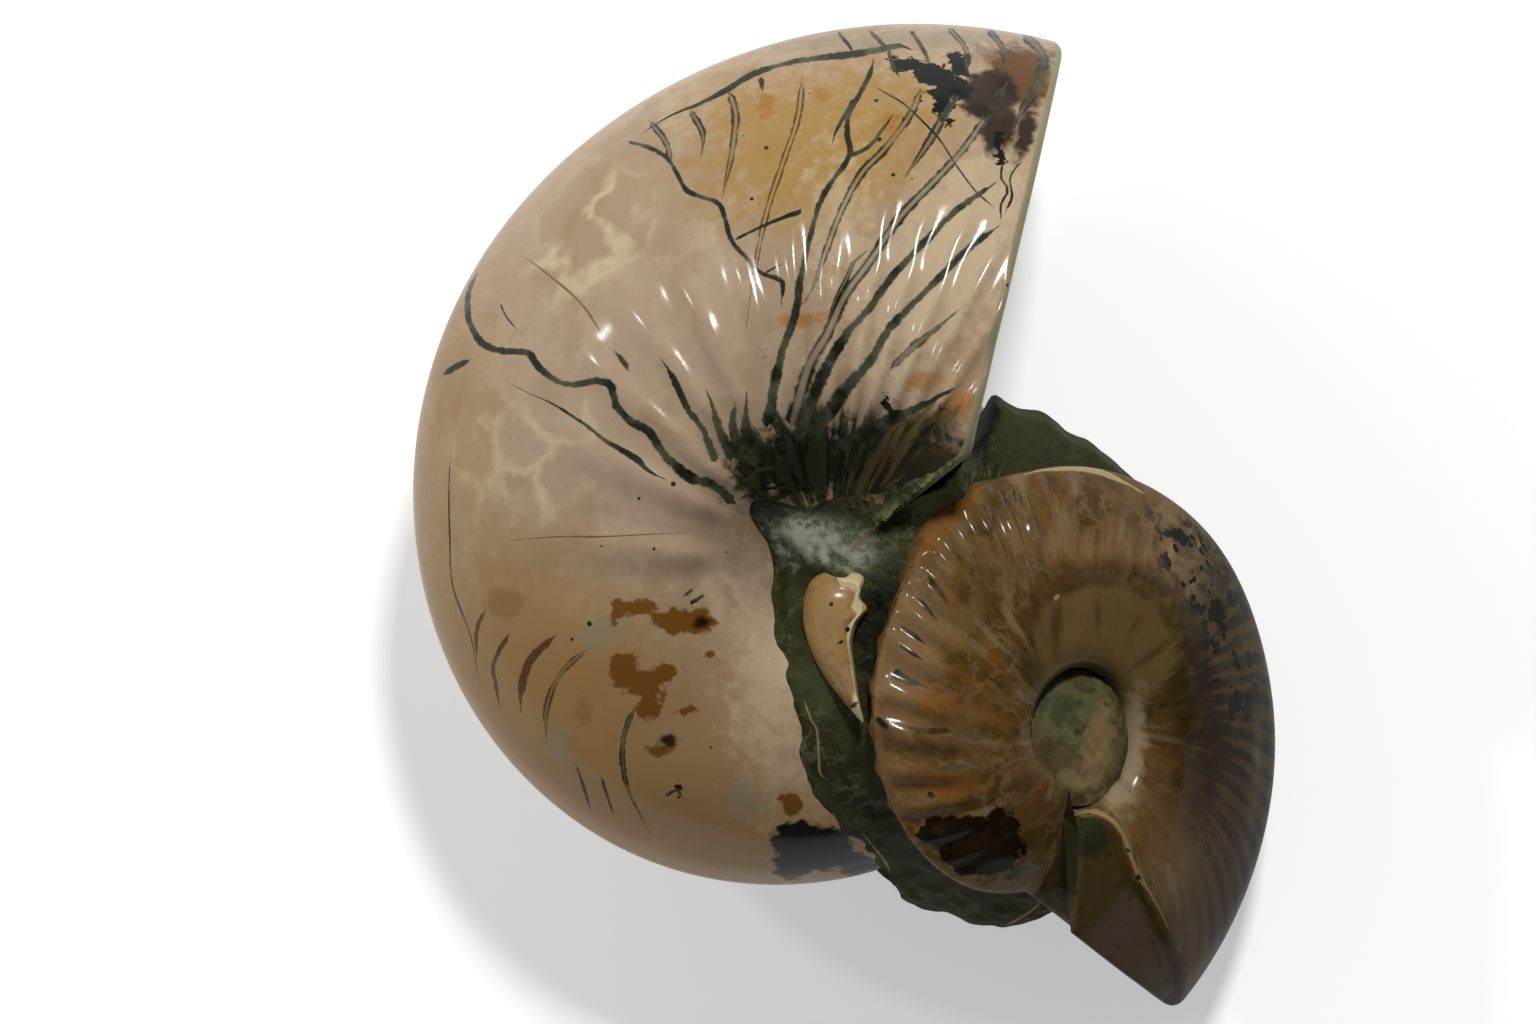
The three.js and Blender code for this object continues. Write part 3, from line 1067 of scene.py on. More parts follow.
# The nautiloid's veins. The rib grooves fan from the umbilicus up to the venter, the sutures
# and cracks cross them, and the short ones are stubs that the polish has left.
NAUTILOID_VEINS = (
    Vein(0.85, ((4.9, 73.1), (3.9, 69.4), (1, 63.8), (0.5, 60.2), (0.8, 56.6), (-3.2, 50.6), (-5.2, 44.3),
                (-6.8, 37.5), (-7.4, 33.1), (-8.2, 30), (-9.7, 25.8), (-12.2, 14)),
         taper=(0.05, 0.02), flare=1.6, groove=0.22),
    Vein(0.75, ((0.8, 56.6), (3.9, 58.1), (6.1, 61), (8, 63.7)), taper=(0.05, 0.4)),
    Vein(0.7, ((1.9, 66.4), (0.2, 63.3), (-1.2, 60.7), (-2, 58.1)), taper=(0.1, 0.5)),
    Vein(1.3, ((12.2, 67.7), (10.5, 63.4), (6.3, 57.7), (2.6, 53.7), (-0.7, 47.4), (-3.2, 40.6), (-5.2, 35.3),
               (-7.4, 32)), core=0.7, taper=(0.05, 0.3), groove=0.25),
    Vein(1.4, ((18.3, 67.4), (15.6, 62.9), (13.1, 58.5), (8.7, 52.1)), core=0.5, taper=(0.1, 0.5),
         groove=0.2),
    Vein(1.4, ((26.1, 69.1), (22.3, 62.9), (19.1, 58.2), (15.4, 54), (8.7, 46.9), (4.1, 40.1), (0.2, 34.8),
               (-2.7, 28.6), (-5.7, 23.3), (-8.2, 14)), core=0.6, taper=(0.05, 0.02), flare=1.0, groove=0.3),
    Vein(0.8, ((4, 42), (1.5, 39.8), (0.2, 37), (-1.3, 33.9), (-3, 29.2)), core=0.4, taper=(0.3, 0.3)),
    Vein(1.2, ((24.3, 52.8), (17.6, 48.1), (13.2, 43.7), (7.7, 37.9), (4.1, 32.9), (0.7, 29), (-2.9, 23.2),
               (-7.3, 13)), taper=(0.1, 0.02), flare=1.3, groove=0.3),
    Vein(1.2, ((24.7, 45.9), (19.7, 42.3), (15.3, 37.9), (10.3, 32.9), (6.4, 28.6), (4.1, 24.5), (0.1, 19.9),
               (-5.5, 12)), taper=(0.1, 0.02), flare=1.8, groove=0.3),
    Vein(1.6, ((18.9, 33.2), (15.3, 30.3), (10.3, 26.2), (6.9, 22.8)), taper=(0.7, 0.12), core=0.3,
         groove=0.2),
    Vein(2.3, ((19.2, 21), (15.3, 19.2), (11.6, 17.2), (6.2, 14.8), (-1, 11)), taper=(0.7, 0.02), groove=0.2),
    Vein(1.3, ((-18.1, 67.4), (-17, 63.7), (-17.3, 59.4), (-17.7, 56.7), (-19.3, 49.3)), core=0.7,
         taper=(0.05, 0.5), groove=0.15),
    Vein(1.1, ((-6.4, 70.7), (-7.2, 63), (-9.6, 55.6), (-12.2, 47.5), (-13.8, 39.8), (-14.9, 33),
               (-15.7, 26)), core=0.9, taper=(0.1, 0.5), tone=0.8, groove=0.15),
    Vein(1.1, ((-24.3, 64.6), (-22.2, 60.5), (-22.5, 56.3)), core=0.4, taper=(0.1, 0.6)),
    Vein(1.1, ((-30.8, 63), (-28, 59.2), (-27.1, 55.6)), core=0.5, taper=(0.1, 0.2)),
    Vein(0.8, ((-13, 69.7), (-12.7, 67)), taper=(0.1, 0.5)),
    Vein(0.75, ((-34.3, 59.6), (-30.9, 58.6), (-28, 56.9), (-26.4, 54.4), (-24.8, 51.5), (-22.3, 50.3),
                (-19.6, 49.2), (-18.5, 46.3), (-17.7, 43.4), (-15.4, 40.7), (-13, 38.2), (-10, 37.1),
                (-9.6, 35.5), (-9.9, 32.5)), taper=(0.02, 0.1)),
    Vein(0.45, ((-17.2, 43.4), (-12.7, 45.6), (-9.3, 47), (-6.6, 47.9)), taper=(0.05, 0.02), flare=1.0),
    Vein(0.35, ((-12.4, 38.2), (-9.6, 39.7)), taper=(0.05, 0.5)),
    Vein(1.1, ((-58.2, 39.3), (-59.6, 36), (-59.7, 32.3), (-58.3, 29), (-56.3, 27), (-53.5, 26.3),
                (-49.7, 25.9), (-48.3, 24), (-46.5, 22.4), (-44.3, 21.1), (-41.4, 21), (-38.7, 21.4),
                (-36.7, 20.8), (-36, 18.9), (-35.6, 17.3), (-33.7, 15.3), (-30.5, 13.5), (-28.3, 10),
                (-24.3, 6.4), (-20.4, 5), (-16.8, 2)), taper=(0.04, 0.02), flare=0.8),
    Vein(0.75, ((-54.7, 22.2), (-49.2, 19.4), (-46, 18), (-40.9, 14.8), (-37.3, 12), (-32.9, 9.5),
                (-30.5, 7.3), (-27.4, 5.7)), taper=(0.7, 0.2), flare=0.5),
    Vein(1.0, ((-63.7, 22.7), (-61.5, 23.9), (-59.2, 25)), taper=(0.2, 0.2)),
    Vein(1.0, ((-36.2, 26.3), (-34.8, 24.7), (-33.4, 22.9)), taper=(0.4, 0.2)),
    Vein(1.0, ((-29, 25.4), (-26.6, 21.5), (-24.3, 16.7), (-22.1, 13.8), (-20, 8.7)), taper=(0.3, 0.03),
         flare=1.0, groove=0.2),
    Vein(1.5, ((-21.8, 20.6), (-20.7, 17.6), (-19.6, 14), (-17.5, 9)), taper=(0.5, 0.03), flare=0.8),
    Vein(1.5, ((-17.1, 18), (-17.4, 14), (-16, 9)), taper=(0.2, 0.03), flare=0.8),
    Vein(1.6, ((-15.2, 20.5), (-15.4, 13.7), (-14, 8)), taper=(0.5, 0.03), flare=0.8),
    Vein(0.3, ((-54.2, -3.7), (-44.6, -3), (-38.3, -3), (-30.2, -2.6), (-22.6, -2.3)), tone=1.2,
         taper=(0.4, 0.4)),
    Vein(0.28, ((-62.2, 11.8), (-62.5, 5), (-62.4, -3.1), (-62, -10.9), (-59.1, -19), (-57.8, -27.5)),
         taper=(0.2, 0.2)),
    Vein(0.7, ((-56.6, -14.5), (-58.1, -17.7), (-58.2, -22.5)), tone=0.9),
    Vein(0.8, ((-52.7, -18.1), (-55.4, -23.1), (-55.1, -26.8), (-54.4, -30.9)), tone=0.6),
    Vein(1.2, ((-45.3, -18.5), (-49.4, -22.5), (-51, -27.2), (-51.1, -31.5)), tone=0.8),
    Vein(1.0, ((-40.2, -20.5), (-44.7, -24.7), (-47, -30.3), (-47, -36.1)), core=0.6, tone=0.5),
    Vein(1.0, ((-32.7, -29.4), (-34.8, -35.1), (-34.4, -42), (-31.8, -48), (-29.8, -52.2)), core=0.3,
         taper=(0.1, 0.7)),
    Vein(0.5, ((-42.5, -38.8), (-41.3, -42.5), (-40, -47.3))),
    Vein(0.5, ((-38.4, -40.8), (-37.5, -44), (-36.3, -47.8))),
    Vein(0.75, ((-25.3, -12.5), (-23.4, -11)), taper=(0.1, 0.1)),
    Vein(0.75, ((-24.2, -13.6), (-21.7, -12)), taper=(0.1, 0.1)),
    Vein(0.6, ((-28.2, -44.1), (-26.3, -43.1), (-25.5, -44.4)), taper=(0.1, 0.1)),
    Vein(0.4, ((-54.4, 34), (-53.2, 31.6), (-51.4, 29.6))),
    Vein(0.4, ((-51.8, 42.3), (-46.2, 38), (-41, 33.3), (-36.5, 26.4)), tone=1.3, taper=(0.3, 0.3)),
    Vein(0.6, ((-0.9, 77.5), (1.1, 74.7), (1.5, 73.4))),
    Vein(0.8, ((4.2, 77.5), (6.8, 74.5), (8, 73.2)), taper=(0.02, 0.3)),
    Vein(0.8, ((10.8, 77.6), (13.1, 73.3), (13.7, 71.4)), taper=(0.02, 0.3)),
    Vein(1.1, ((16.9, 78), (19.6, 73.8), (19.3, 69.7)), core=0.5, taper=(0.02, 0.3)),
    Vein(1.3, ((23.3, 77.7), (25.5, 74), (25.2, 70.8)), core=0.3, taper=(0.02, 0.4)),
    Vein(2.0, ((28.8, 77.3), (31.7, 73.3), (30.7, 68.5), (28.2, 64.3), (25.9, 60.3)), core=0.3,
         taper=(0.02, 0.4)),
    Vein(0.7, ((33.4, 77.4), (35.1, 74.5))),
    Vein(0.9, ((-33.8, 59.6), (-27.8, 63.5), (-22.7, 65.6), (-18.1, 68), (-13.7, 70.6), (-6.8, 72.5),
               (0.9, 73.3), (5.8, 74.2), (9, 74.8), (11.4, 73.8)), taper=(0.4, 0.1), flare=0.7),
    Vein(0.7, ((8.9, 69.4), (7.8, 71.5), (7.1, 74.1)), taper=(0.3, 0.1)),
    Vein(0.35, ((4.2, 68.4), (6.5, 66.9), (9.5, 65), (12.7, 61.8), (15, 59.2), (17.6, 55), (20.4, 51.1),
                (23.6, 48.1)), taper=(0.1, 0.1)),
    Vein(0.4, ((24.9, 56), (24.5, 53.1), (25.6, 51.2), (24.4, 48.8), (24.5, 45.6)), taper=(0.05, 0.2)),
    Vein(0.4, ((27.8, 56), (25.9, 53.1), (26.2, 50.2), (25, 47.3)), taper=(0.05, 0.2)),
    Vein(0.6, ((-16.6, 5.6), (-14.8, 6.2), (-13.2, 7.5), (-9, 8.2))),
    Vein(0.5, ((-16.8, 2.6), (-14.4, 3.9), (-12.4, 4.5), (-6, 4.9))),
)

# The ammonite's veins: the edge of its broken chamber, stone in the grooves between its ribs,
# and the dark marks along them.
AMMONITE_VEINS = (
    Vein(0.75, ((36, -47.4), (38.4, -46.6), (41, -46.9), (43.5, -48.9), (45, -51.7), (46.6, -56.2),
                (48.9, -59.8), (50.9, -63.3), (52.8, -67.8)), tone=1.5, taper=(0.1, 0.5)),
    Vein(0.8, ((23.9, -1.1), (23.3, 2.1)), taper=(0.2, 0.2)),
    Vein(0.8, ((26, 0.3), (25.3, 3.4)), taper=(0.2, 0.2)),
    Vein(0.5, ((27.3, 2.2), (26.8, 4.6)), taper=(0.2, 0.2)),
    Vein(0.9, ((5, -31.2), (7.2, -33.6)), taper=(0.2, 0.2)),
    Vein(0.8, ((13, -43.3), (14.4, -43.9)), taper=(0.2, 0.2)),
    Vein(1.5, ((65.9, -36.4), (66.8, -38.6), (67.3, -40.6)), taper=(0.3, 0.3)),
    Vein(1.1, ((53.6, -67.8), (54.4, -70.6)), taper=(0.3, 0.3)),
    Vein(0.7, ((54.6, -71.4), (55.2, -72.6)), taper=(0.3, 0.3)),
    Vein(0.9, ((25.6, -57.5), (27.7, -56.2), (30, -54.9)), taper=(0.2, 0.3)),
    Vein(1.0, ((16.6, -13.8), (13.2, -9.2)), tone=0.2, taper=(0.5, 0.2)),
    Vein(0.8, ((15, -16.5), (11.5, -12.5)), tone=0.2, taper=(0.5, 0.2)),
    Vein(0.9, ((13, -20), (8.8, -16.8)), tone=0.2, taper=(0.5, 0.1)),
    Vein(0.8, ((12.5, -22.4), (8.6, -19.8)), tone=0.3, taper=(0.5, 0.1)),
    Vein(1.9, ((13.4, -26.8), (10.5, -25.6), (7.6, -24.3)), tone=0.1, taper=(0.6, 0.05)),
    Vein(1.0, ((17, -33.4), (13, -33.4), (10, -32.8)), tone=0.4),
    Vein(0.9, ((19.4, -39), (16.7, -39.2), (14.2, -39.8)), tone=0.2),
    Vein(1.1, ((28, 6.6), (32, 7.7), (36, 8.0), (40, 7.5), (45, 5.6), (49, 3.3)), tone=2.0, taper=(0.3, 0.4)),
    Vein(0.7, ((33.1, -12.9), (34.1, -12.2)), tone=1.6, taper=(0.2, 0.2)),
    Vein(0.8, ((44.6, -52.4), (45.6, -53.2)), taper=(0.2, 0.2)),
    Vein(0.8, ((46.3, -56.8), (47.4, -57.4)), taper=(0.2, 0.2)),
)


# The pale lines on the sandstone: a broken seam beside the nautiloid, and worn ridges.
MATRIX_VEINS = (
    Vein(0.36, ((-6.4, -28.3), (-5.1, -31.9), (-4.2, -33.6), (-3.9, -38.2), (-3.6, -40.5), (-2.1, -41.6)),
         tone=1.5, taper=(0.2, 0.2)),
    Vein(0.45, ((-1.6, -46.5), (-0.5, -51.7), (1, -52.7)), tone=2.0, taper=(0.3, 0.3)),
    Vein(0.4, ((2.7, -49.6), (6.6, -54.7), (8.1, -58)), tone=1.6, taper=(0.3, 0.3)),
    Vein(0.4, ((25.9, -66.6), (31.1, -63.4), (33, -60.6)), tone=1.6, taper=(0.3, 0.3)),
)


@dataclass(frozen=True)
class Nautiloid:
    """The large shell: its coil, low folds round the umbilicus, and markings.

    Each mark is a set of ovals, given as x, y, half length, half width and turn.
    """

    coil: Coil = NAUTILOID_COIL
    rows: tuple[int, int] = (103, 36)
    columns: int = 690
    face_columns: int = 22
    round_tip: float = 1.4
    fold_angles: tuple[float, ...] = (51, 57, 63, 69, 75.5, 81.5, 89, 97, 106, 117, 127, 139, 153, 174, 200)
    fold_height: float = 0.8
    fold_ends: tuple[float, float] = (176, 196)
    fold_spacing: float = 7.0
    fold_widest: float = 1.2
    fold_rise: tuple[float, float] = (0.22, 0.34)
    fold_fall: tuple[float, float] = (0.48, 0.82)
    fold_sharpness: float = 1.6
    fold_middle: float = 0.45
    older_spacing: float = 14.0
    unevenness: float = 0.14
    twist: float = 75.0
    twist_depths: tuple[float, float] = (2.0, 24.0)
    infill_edge: float = 1.3
    infill_depth: float = 8.0
    round_edge: float = 1.2
    older_from: float = 230.0
    amber_zone: tuple = ((-4, 58, 22, 14, 8), (-14, 64, 12, 8, 10), (6, 66, 16, 8, -10))
    # Painted shade: darker and browner over the lower left flank and along the left rim, where the lamp's
    # light falls off; part of the brown is the shell's own colour.
    shade: tuple = ((-42, -34, 44, 20, -38), (-16, -50, 26, 9, -8), (-63, -6, 26, 4, 90))
    warm: tuple = ((-22, -30, 12, 16, 10), (18, 26, 6, 12, -14))
    # Of the cream ovals, those at the upper right, (14, 36), (20, 46) and (0, 45), are painted light where
    # the flank slopes away from the lamp; the one at (-12, -26) is the shell's own cream.
    cream: tuple = ((14, 36, 8, 15, -28), (-12, -26, 5, 17, 8), (20, 46, 8, 16, -30), (0, 45, 4, 10, 5))
    net: tuple = ((-50, 10, 15, 12, 20), (-14, -24, 10, 22, 12), (-40, 44, 14, 10, 50))
    umber: tuple = ((28.4, 69.0, 5.0, 4.2, 10), (27.4, 72.4, 5.2, 2.6, -8), (33.5, 73.5, 3.4, 0.6, 15))
    amber: tuple = (
        (-26.8, -16.2, 3.4, 1.8, -15), (-23.2, -16.4, 3.0, 2.1, 5), (-30.8, -27.0, 1.4, 1.8, 20),
        (-35.2, -14.2, 2.2, 1.3, 60), (-32.2, -14.0, 3.2, 1.3, -5), (-34.6, -24.4, 2.2, 3.0, 0),
        (-31.8, -26.4, 3.6, 2.0, -20), (-28.6, -24.7, 2.9, 1.6, 15), (-30.8, -29.4, 1.8, 2.4, -30),
        (-28.8, -36.6, 2.4, 0.7, 15), (-24.7, -30.4, 1.0, 0.5, 20), (-21, -21.8, 0.45, 0.45, 0),
        (-8.4, -45.2, 1.6, 2.2, 30),
    )
    orange: tuple = (
        (-12.4, 65.1, 1.6, 2.4, 0), (-3.7, 66.6, 1.8, 1.2, 0), (7, 62, 2.4, 1.2, 30),
        (-5.8, 31.1, 4.6, 1.2, 5), (12.2, 21.4, 3.0, 1.6, 10), (17, 17.2, 4.4, 2.0, 20),
        (29.4, 50, 1.0, 6, -14),
    )
    flecks: tuple = ((4, 46, 30, 30, 0), (-24, -18, 24, 30, 0))
    brown: tuple = (
        (-22.4, -16.6, 1.2, 0.9, 5), (22.8, 66.4, 4.6, 4.4, 20), (24.3, 61.2, 2.9, 4.4, -12),
        (28.6, 60.6, 1.5, 4.6, -20), (-27.6, -35.2, 1.0, 0.8, 0),
    )
    black: tuple = (
        (10.6, 71.4, 3.6, 1.3, -8), (14.6, 69.8, 2.8, 2.2, 0), (18.2, 71.4, 1.4, 2.2, 0),
        (15.4, 65.8, 1.7, 3.4, 10), (17.8, 67.6, 2.4, 2.0, 0), (24.3, 57.4, 0.9, 1.8, 0),
        (6.6, 17.9, 0.8, 1.1, 10), (-25.9, -42.6, 0.7, 0.9, 0),
    )
    slate: tuple = (
        (-7.2, -51.4, 4.2, 3.4, 0), (-2.8, -52.6, 5.0, 3.6, -18), (-8.0, -55.0, 3.0, 3.0, 0),
        (2.2, -55.6, 4.6, 2.2, -24),
    )
    grey: tuple = (
        (8, 75.6, 26, 2.2, 2), (-15.1, -44.6, 3.0, 3.6, 0), (-37.5, -18, 5.2, 3.0, 35),
        (-45, -36, 2.0, 3.6, 0),
    )
    spots: tuple = ((-41.1, -30.7, 1.4, 2.3, 10), (-53.5, -13.5, 3.0, 2.4, 0))
    crust: tuple = (
        (-6, 8.6, 12, 6.6, 8), (7, 10.5, 12, 5.2, 10), (16, 12.5, 3.5, 2, -20), (2, 5.5, 12, 4.6, 0),
        (9, 7.5, 11, 4.2, 15),
    )
    swirl: tuple = ((10.8, 8.2, 8, 3.0, 8), (12.8, 14.6, 5.5, 1.8, 12))
    marks: tuple[str, ...] = (
        "amber_zone", "shade", "warm", "cream", "net", "umber", "amber", "orange", "flecks", "brown", "black",
        "slate", "grey", "spots", "crust", "swirl",
    )

    def build(self) -> bpy.types.Object:
        """Build the shell's mesh with its fields.

        Returns:
            The piece.
        """
        grid = ShellGrid.build(self.coil, self.rows, self.columns, self.face_columns, self.round_tip)
        plain = grid.points(np.zeros_like(grid.share), self.round_edge)
        flat = plain.reshape(-1, 3)
        groove = grooves(flat, NAUTILOID_VEINS).reshape(grid.share.shape)
        folds, phase = self._folds(grid)
        points = grid.points(folds - groove * (grid.side > 0), self.round_edge)
        surface, on_face = grid.close(self._clear_of_ammonite(points, grid))
        rings = surface.rings
        rings[..., 2] = np.maximum(rings[..., 2], 0.0)
        twisted = self._twisted_below(rings)
        fields = {name: surface.field(ovals(twisted, getattr(self, name))) for name in self.marks}
        rim = grid.spread(self.round_edge * 1.1 - grid.from_cut)
        fields["rim"] = surface.field(np.where(on_face > 0, -3.0, rim))
        spread = np.linalg.norm(rings - rings[:, :1, :], axis=-1)
        infill = np.minimum(spread - self.infill_edge, self.infill_depth)
        fields["infill"] = surface.field(np.where(on_face > 0, infill, NOWHERE))
        fields["crust"] = np.maximum(fields["crust"], fields["infill"])
        fields["flow"] = flow_field(surface, grid, phase, 5.0)
        off_face = surface.field(np.where(on_face > 0, 0.0, 1.0))
        places = Surface(twisted, surface.top, surface.bottom).points()
        for layer, veins in enumerate(share_out(NAUTILOID_VEINS)):
            fields[f"vein_{layer}"] = vein_field(places, veins)
            fields[f"vein_{layer}"][:, 1] *= off_face
        return make_piece("nautiloid_polished", surface, fields, 50)

    def _twisted_below(self, points: Array) -> Array:
        """Turn places about the axis, the more the lower they are, so that the sides' marks differ.

        Args:
            points: Places, with x, y and z on the last axis.

        Returns:
            The turned places, from which the marks are read.
        """
        local = self.coil.local(points)
        turn = math.radians(self.twist) * ease(-local[..., 2], *self.twist_depths)
        x = local[..., 0] * np.cos(turn) - local[..., 1] * np.sin(turn)
        y = local[..., 0] * np.sin(turn) + local[..., 1] * np.cos(turn)
        return np.stack([x, y, local[..., 2]], axis=-1) @ self.coil.turned.T + np.array(self.coil.pole)

    def _folds(self, grid: ShellGrid) -> tuple[Array, Array]:
        """Raise a fold at each fold angle, as a sharpened cosine of the place between them.

        The folds rise from the umbilical shoulder, in proportion to the space between them, and
        die out down the flank.

        Args:
            grid: The shell's grid.

        Returns:
            The relief, and the number of folds passed at each place.
        """
        angles = np.radians(self.fold_angles)
        beyond = np.maximum(grid.angle - angles[-1], 0.0) / math.radians(self.older_spacing)
        phase = np.interp(grid.angle, angles, np.arange(len(angles))) + beyond
        rise = ease(grid.share, *self.fold_rise) * (1.0 - ease(grid.share, *self.fold_fall))
        fade = 1.0 - ease(grid.angle, *np.radians(self.fold_ends))
        crest = (0.5 + 0.5 * np.cos(TURN * phase)) ** self.fold_sharpness - self.fold_middle
        spacing = np.interp(grid.angle, 0.5 * (angles[1:] + angles[:-1]), np.diff(angles))
        wide = np.minimum(spacing / math.radians(self.fold_spacing), self.fold_widest)
        places = np.stack([grid.angle * 30, grid.share * 90, grid.height * 90], axis=-1)
        uneven = self.unevenness * swell(places, 26, 3) * ease(grid.share, 0.1, 0.3)
        return self.fold_height * wide * rise * fade * crest + uneven, phase

    def _clear_of_ammonite(self, points: Array, grid: ShellGrid) -> Array:
        """Keep the older whorl below the plane that the ammonite's bed lies on.

        Args:
            points: The places of the grid's points.
            grid: The shell's grid.

        Returns:
            The places, lowered where they stood too high.
        """
        height = bed_height(points[..., 0], points[..., 1]) - 1.0
        older = grid.angle > math.radians(self.older_from)
        lowered = np.where(older, np.minimum(points[..., 2], height), points[..., 2])
        return np.concatenate([points[..., :2], lowered[..., None]], axis=-1)


def flow_field(surface: Surface, grid: ShellGrid, phase: Array, length: float) -> Array:
    """Make coordinates that follow the shell: ribs passed, and lengths down the flank.

    Args:
        surface: The closed surface.
        grid: The grid it is made from.
        phase: The number of ribs passed at each point.
        length: How many noise lumps fit between the axis and the venter.

    Returns:
        One vector for each point.
    """
    parts = (phase, grid.share * length, 6.0 * grid.height)
    return np.stack([surface.field(grid.spread(part)) for part in parts], axis=-1)


@dataclass(frozen=True)
class Ammonite:
    """The smaller shell: ribs on its left side, a deep umbilicus and a broken body chamber.

    Each mark is a set of ovals, given as x, y, half length, half width and turn.
    """

    coil: Coil = AMMONITE_COIL
    rows: tuple[int, int] = (110, 42)
    columns: int = 630
    face_columns: int = 14
    round_tip: float = 3.2
    rib_angles: tuple[float, ...] = (
        405, 412, 419, 426, 433, 440, 447.5, 455, 462.3, 469.9, 477.5, 485.1, 492.1, 499.5, 507.3, 517, 529.7,
        541, 553, 565, 577, 589, 601, 613,
    )
    rib_height: float = 0.5
    rib_sweep: float = 11.0
    rib_rise: tuple[float, float] = (0.62, 0.9)
    rib_fall: tuple[float, float] = (0.965, 1.0)
    spacing_before: float = 7.0
    spacing_after: float = 12.0
    rib_arc: tuple[float, ...] = (440, 470, 560, 600)
    faint_height: float = 0.05
    faint_rise: tuple[float, float] = (0.35, 0.5)
    faint_arc: tuple[float, ...] = (292, 308, 385, 415)
    faint_share: float = 1.4
    lip: tuple = ((33.5, -53.5), (34.6, -50), (36.6, -47.8), (40.3, -47.4), (42.8, -49), (44.3, -51.6),
                  (45.9, -56.4), (48.3, -60), (50.2, -63.2), (52.1, -67.8), (53.8, -72.3), (55.8, -80))
    sink: float = 0.4
    fall: float = 0.6
    fall_ends: tuple[float, float] = (292, 322)
    seam_depth: float = 2.6
    seam_at: float = 0.2
    seam_width: float = 0.022
    round_edge: float = 0.8
    bulge: tuple[float, float, float] = (479, 15, 3.4)
    hollow: tuple = ((15.4, -49.4, 3.4, 2.2, 10), (21, -52, 6.4, 4.8, -14), (25.4, -50.4, 2.6, 5.0, 15),
                     (17.6, -51, 4.2, 3.4, -20))
    plug: tuple = ((35.5, -30.5, 4.4, 4.6, 10), (36.4, -35.6, 1.6, 1.2, 0), (39.6, -27.6, 2.4, 1.6, 30))
    pink: tuple = ((39.4, -38.0, 3.4, 6.0, -8),)
    inner: tuple = ((38.5, -35, 8.0, 11, 4),)
    # The pale umbilical wall on the right: the shell's own pale colour with a painted highlight along it.
    wall: tuple = ((45.9, -36.4, 1.9, 8.0, -4), (43.6, -43.8, 2.0, 2.4, -40))
    pocket: tuple = ((38.6, -50.6, 3.2, 3.6, -10), (35.6, -55.5, 1.4, 5.0, 0))
    specks: tuple = ((57.5, -9, 6.5, 13, 34), (62.6, -22, 6, 15, 8))
    tan: tuple = ((42, -20, 11.8, 10.6, 0),)
    step: tuple = ((42, -20, 14.6, 13.4, 0),)
    # Painted shade: near-black over the right flank, which faces away from the lamps, on both sides of the
    # shell.
    shade: tuple = ((75.5, -29, 24, 40, 0), (67, -59, 11, 23, -30))
    pale_ribs: tuple = (
        (10, -22, 5, 15, -12), (20, -58, 10, 2, -10), (40, -5, 12, 2.4, -4), (56, -62, 3, 12, 12),
    )
    spokes: tuple = ((33.6, -17.5, 1.1, 5, 0), (28.6, -25, 1.3, 4.5, 10), (36, -11.2, 5, 1.2, 20),
                     (41.5, -10.2, 4, 1.1, -4), (47.5, -12, 4, 1.3, -28), (51.8, -16.4, 1.3, 4, 28),
                     (46, -17.6, 0.9, 4.6, -26), (49.2, -21.6, 4.6, 0.9, 38), (40.2, -15, 0.7, 3.6, 4))
    rust: tuple = ((14, -1, 3, 12, -42), (14.6, 0.6, 2.4, 9, -50), (17, -42.5, 5, 2.5, 0),
                   (14.5, -29, 3.5, 2, 20))
    marks: tuple[str, ...] = (
        "hollow", "plug", "pink", "inner", "wall", "pocket", "specks", "tan", "step", "shade", "rust",
        "pale_ribs", "spokes",
    )

    def build(self) -> bpy.types.Object:
        """Build the shell's mesh with its fields.

        Returns:
            The piece.
        """
        grid = ShellGrid.build(self.coil, self.rows, self.columns, self.face_columns, self.round_tip)
        plain = grid.points(np.zeros_like(grid.share), self.round_edge)
        past_lip = self._past_lip(grid, plain)
        relief, phase = self._relief(grid, ease(past_lip, -0.9, 1.1))
        surface, on_face = grid.close(grid.points(relief, self.round_edge))
        rings = surface.rings
        upper = grid.spread(np.where(grid.side > 0, 1.0, 0.0)) > 0.5
        # The painted shade reaches the lower side as well; the other marks lie on the upper side only.
        fields = {
            name: surface.field(np.where(upper | (name == "shade"), ovals(rings, getattr(self, name)), -6.0))
            for name in self.marks
        }
        fields["chamber"] = surface.field(np.where(on_face > 0, 2.0, grid.spread(past_lip)))
        fields["flow"] = flow_field(surface, grid, phase, 4.0)
        fields["crests"] = surface.field(grid.spread(self._crests(grid, phase)))
        off_face = surface.field(np.where((on_face > 0) | ~upper, 0.0, 1.0))
        for layer, veins in enumerate(share_out(AMMONITE_VEINS)):
            fields[f"vein_{layer}"] = vein_field(surface.points(), veins)
            fields[f"vein_{layer}"][:, 1] *= off_face
        return make_piece("ammonite_polished", surface, fields, 50)

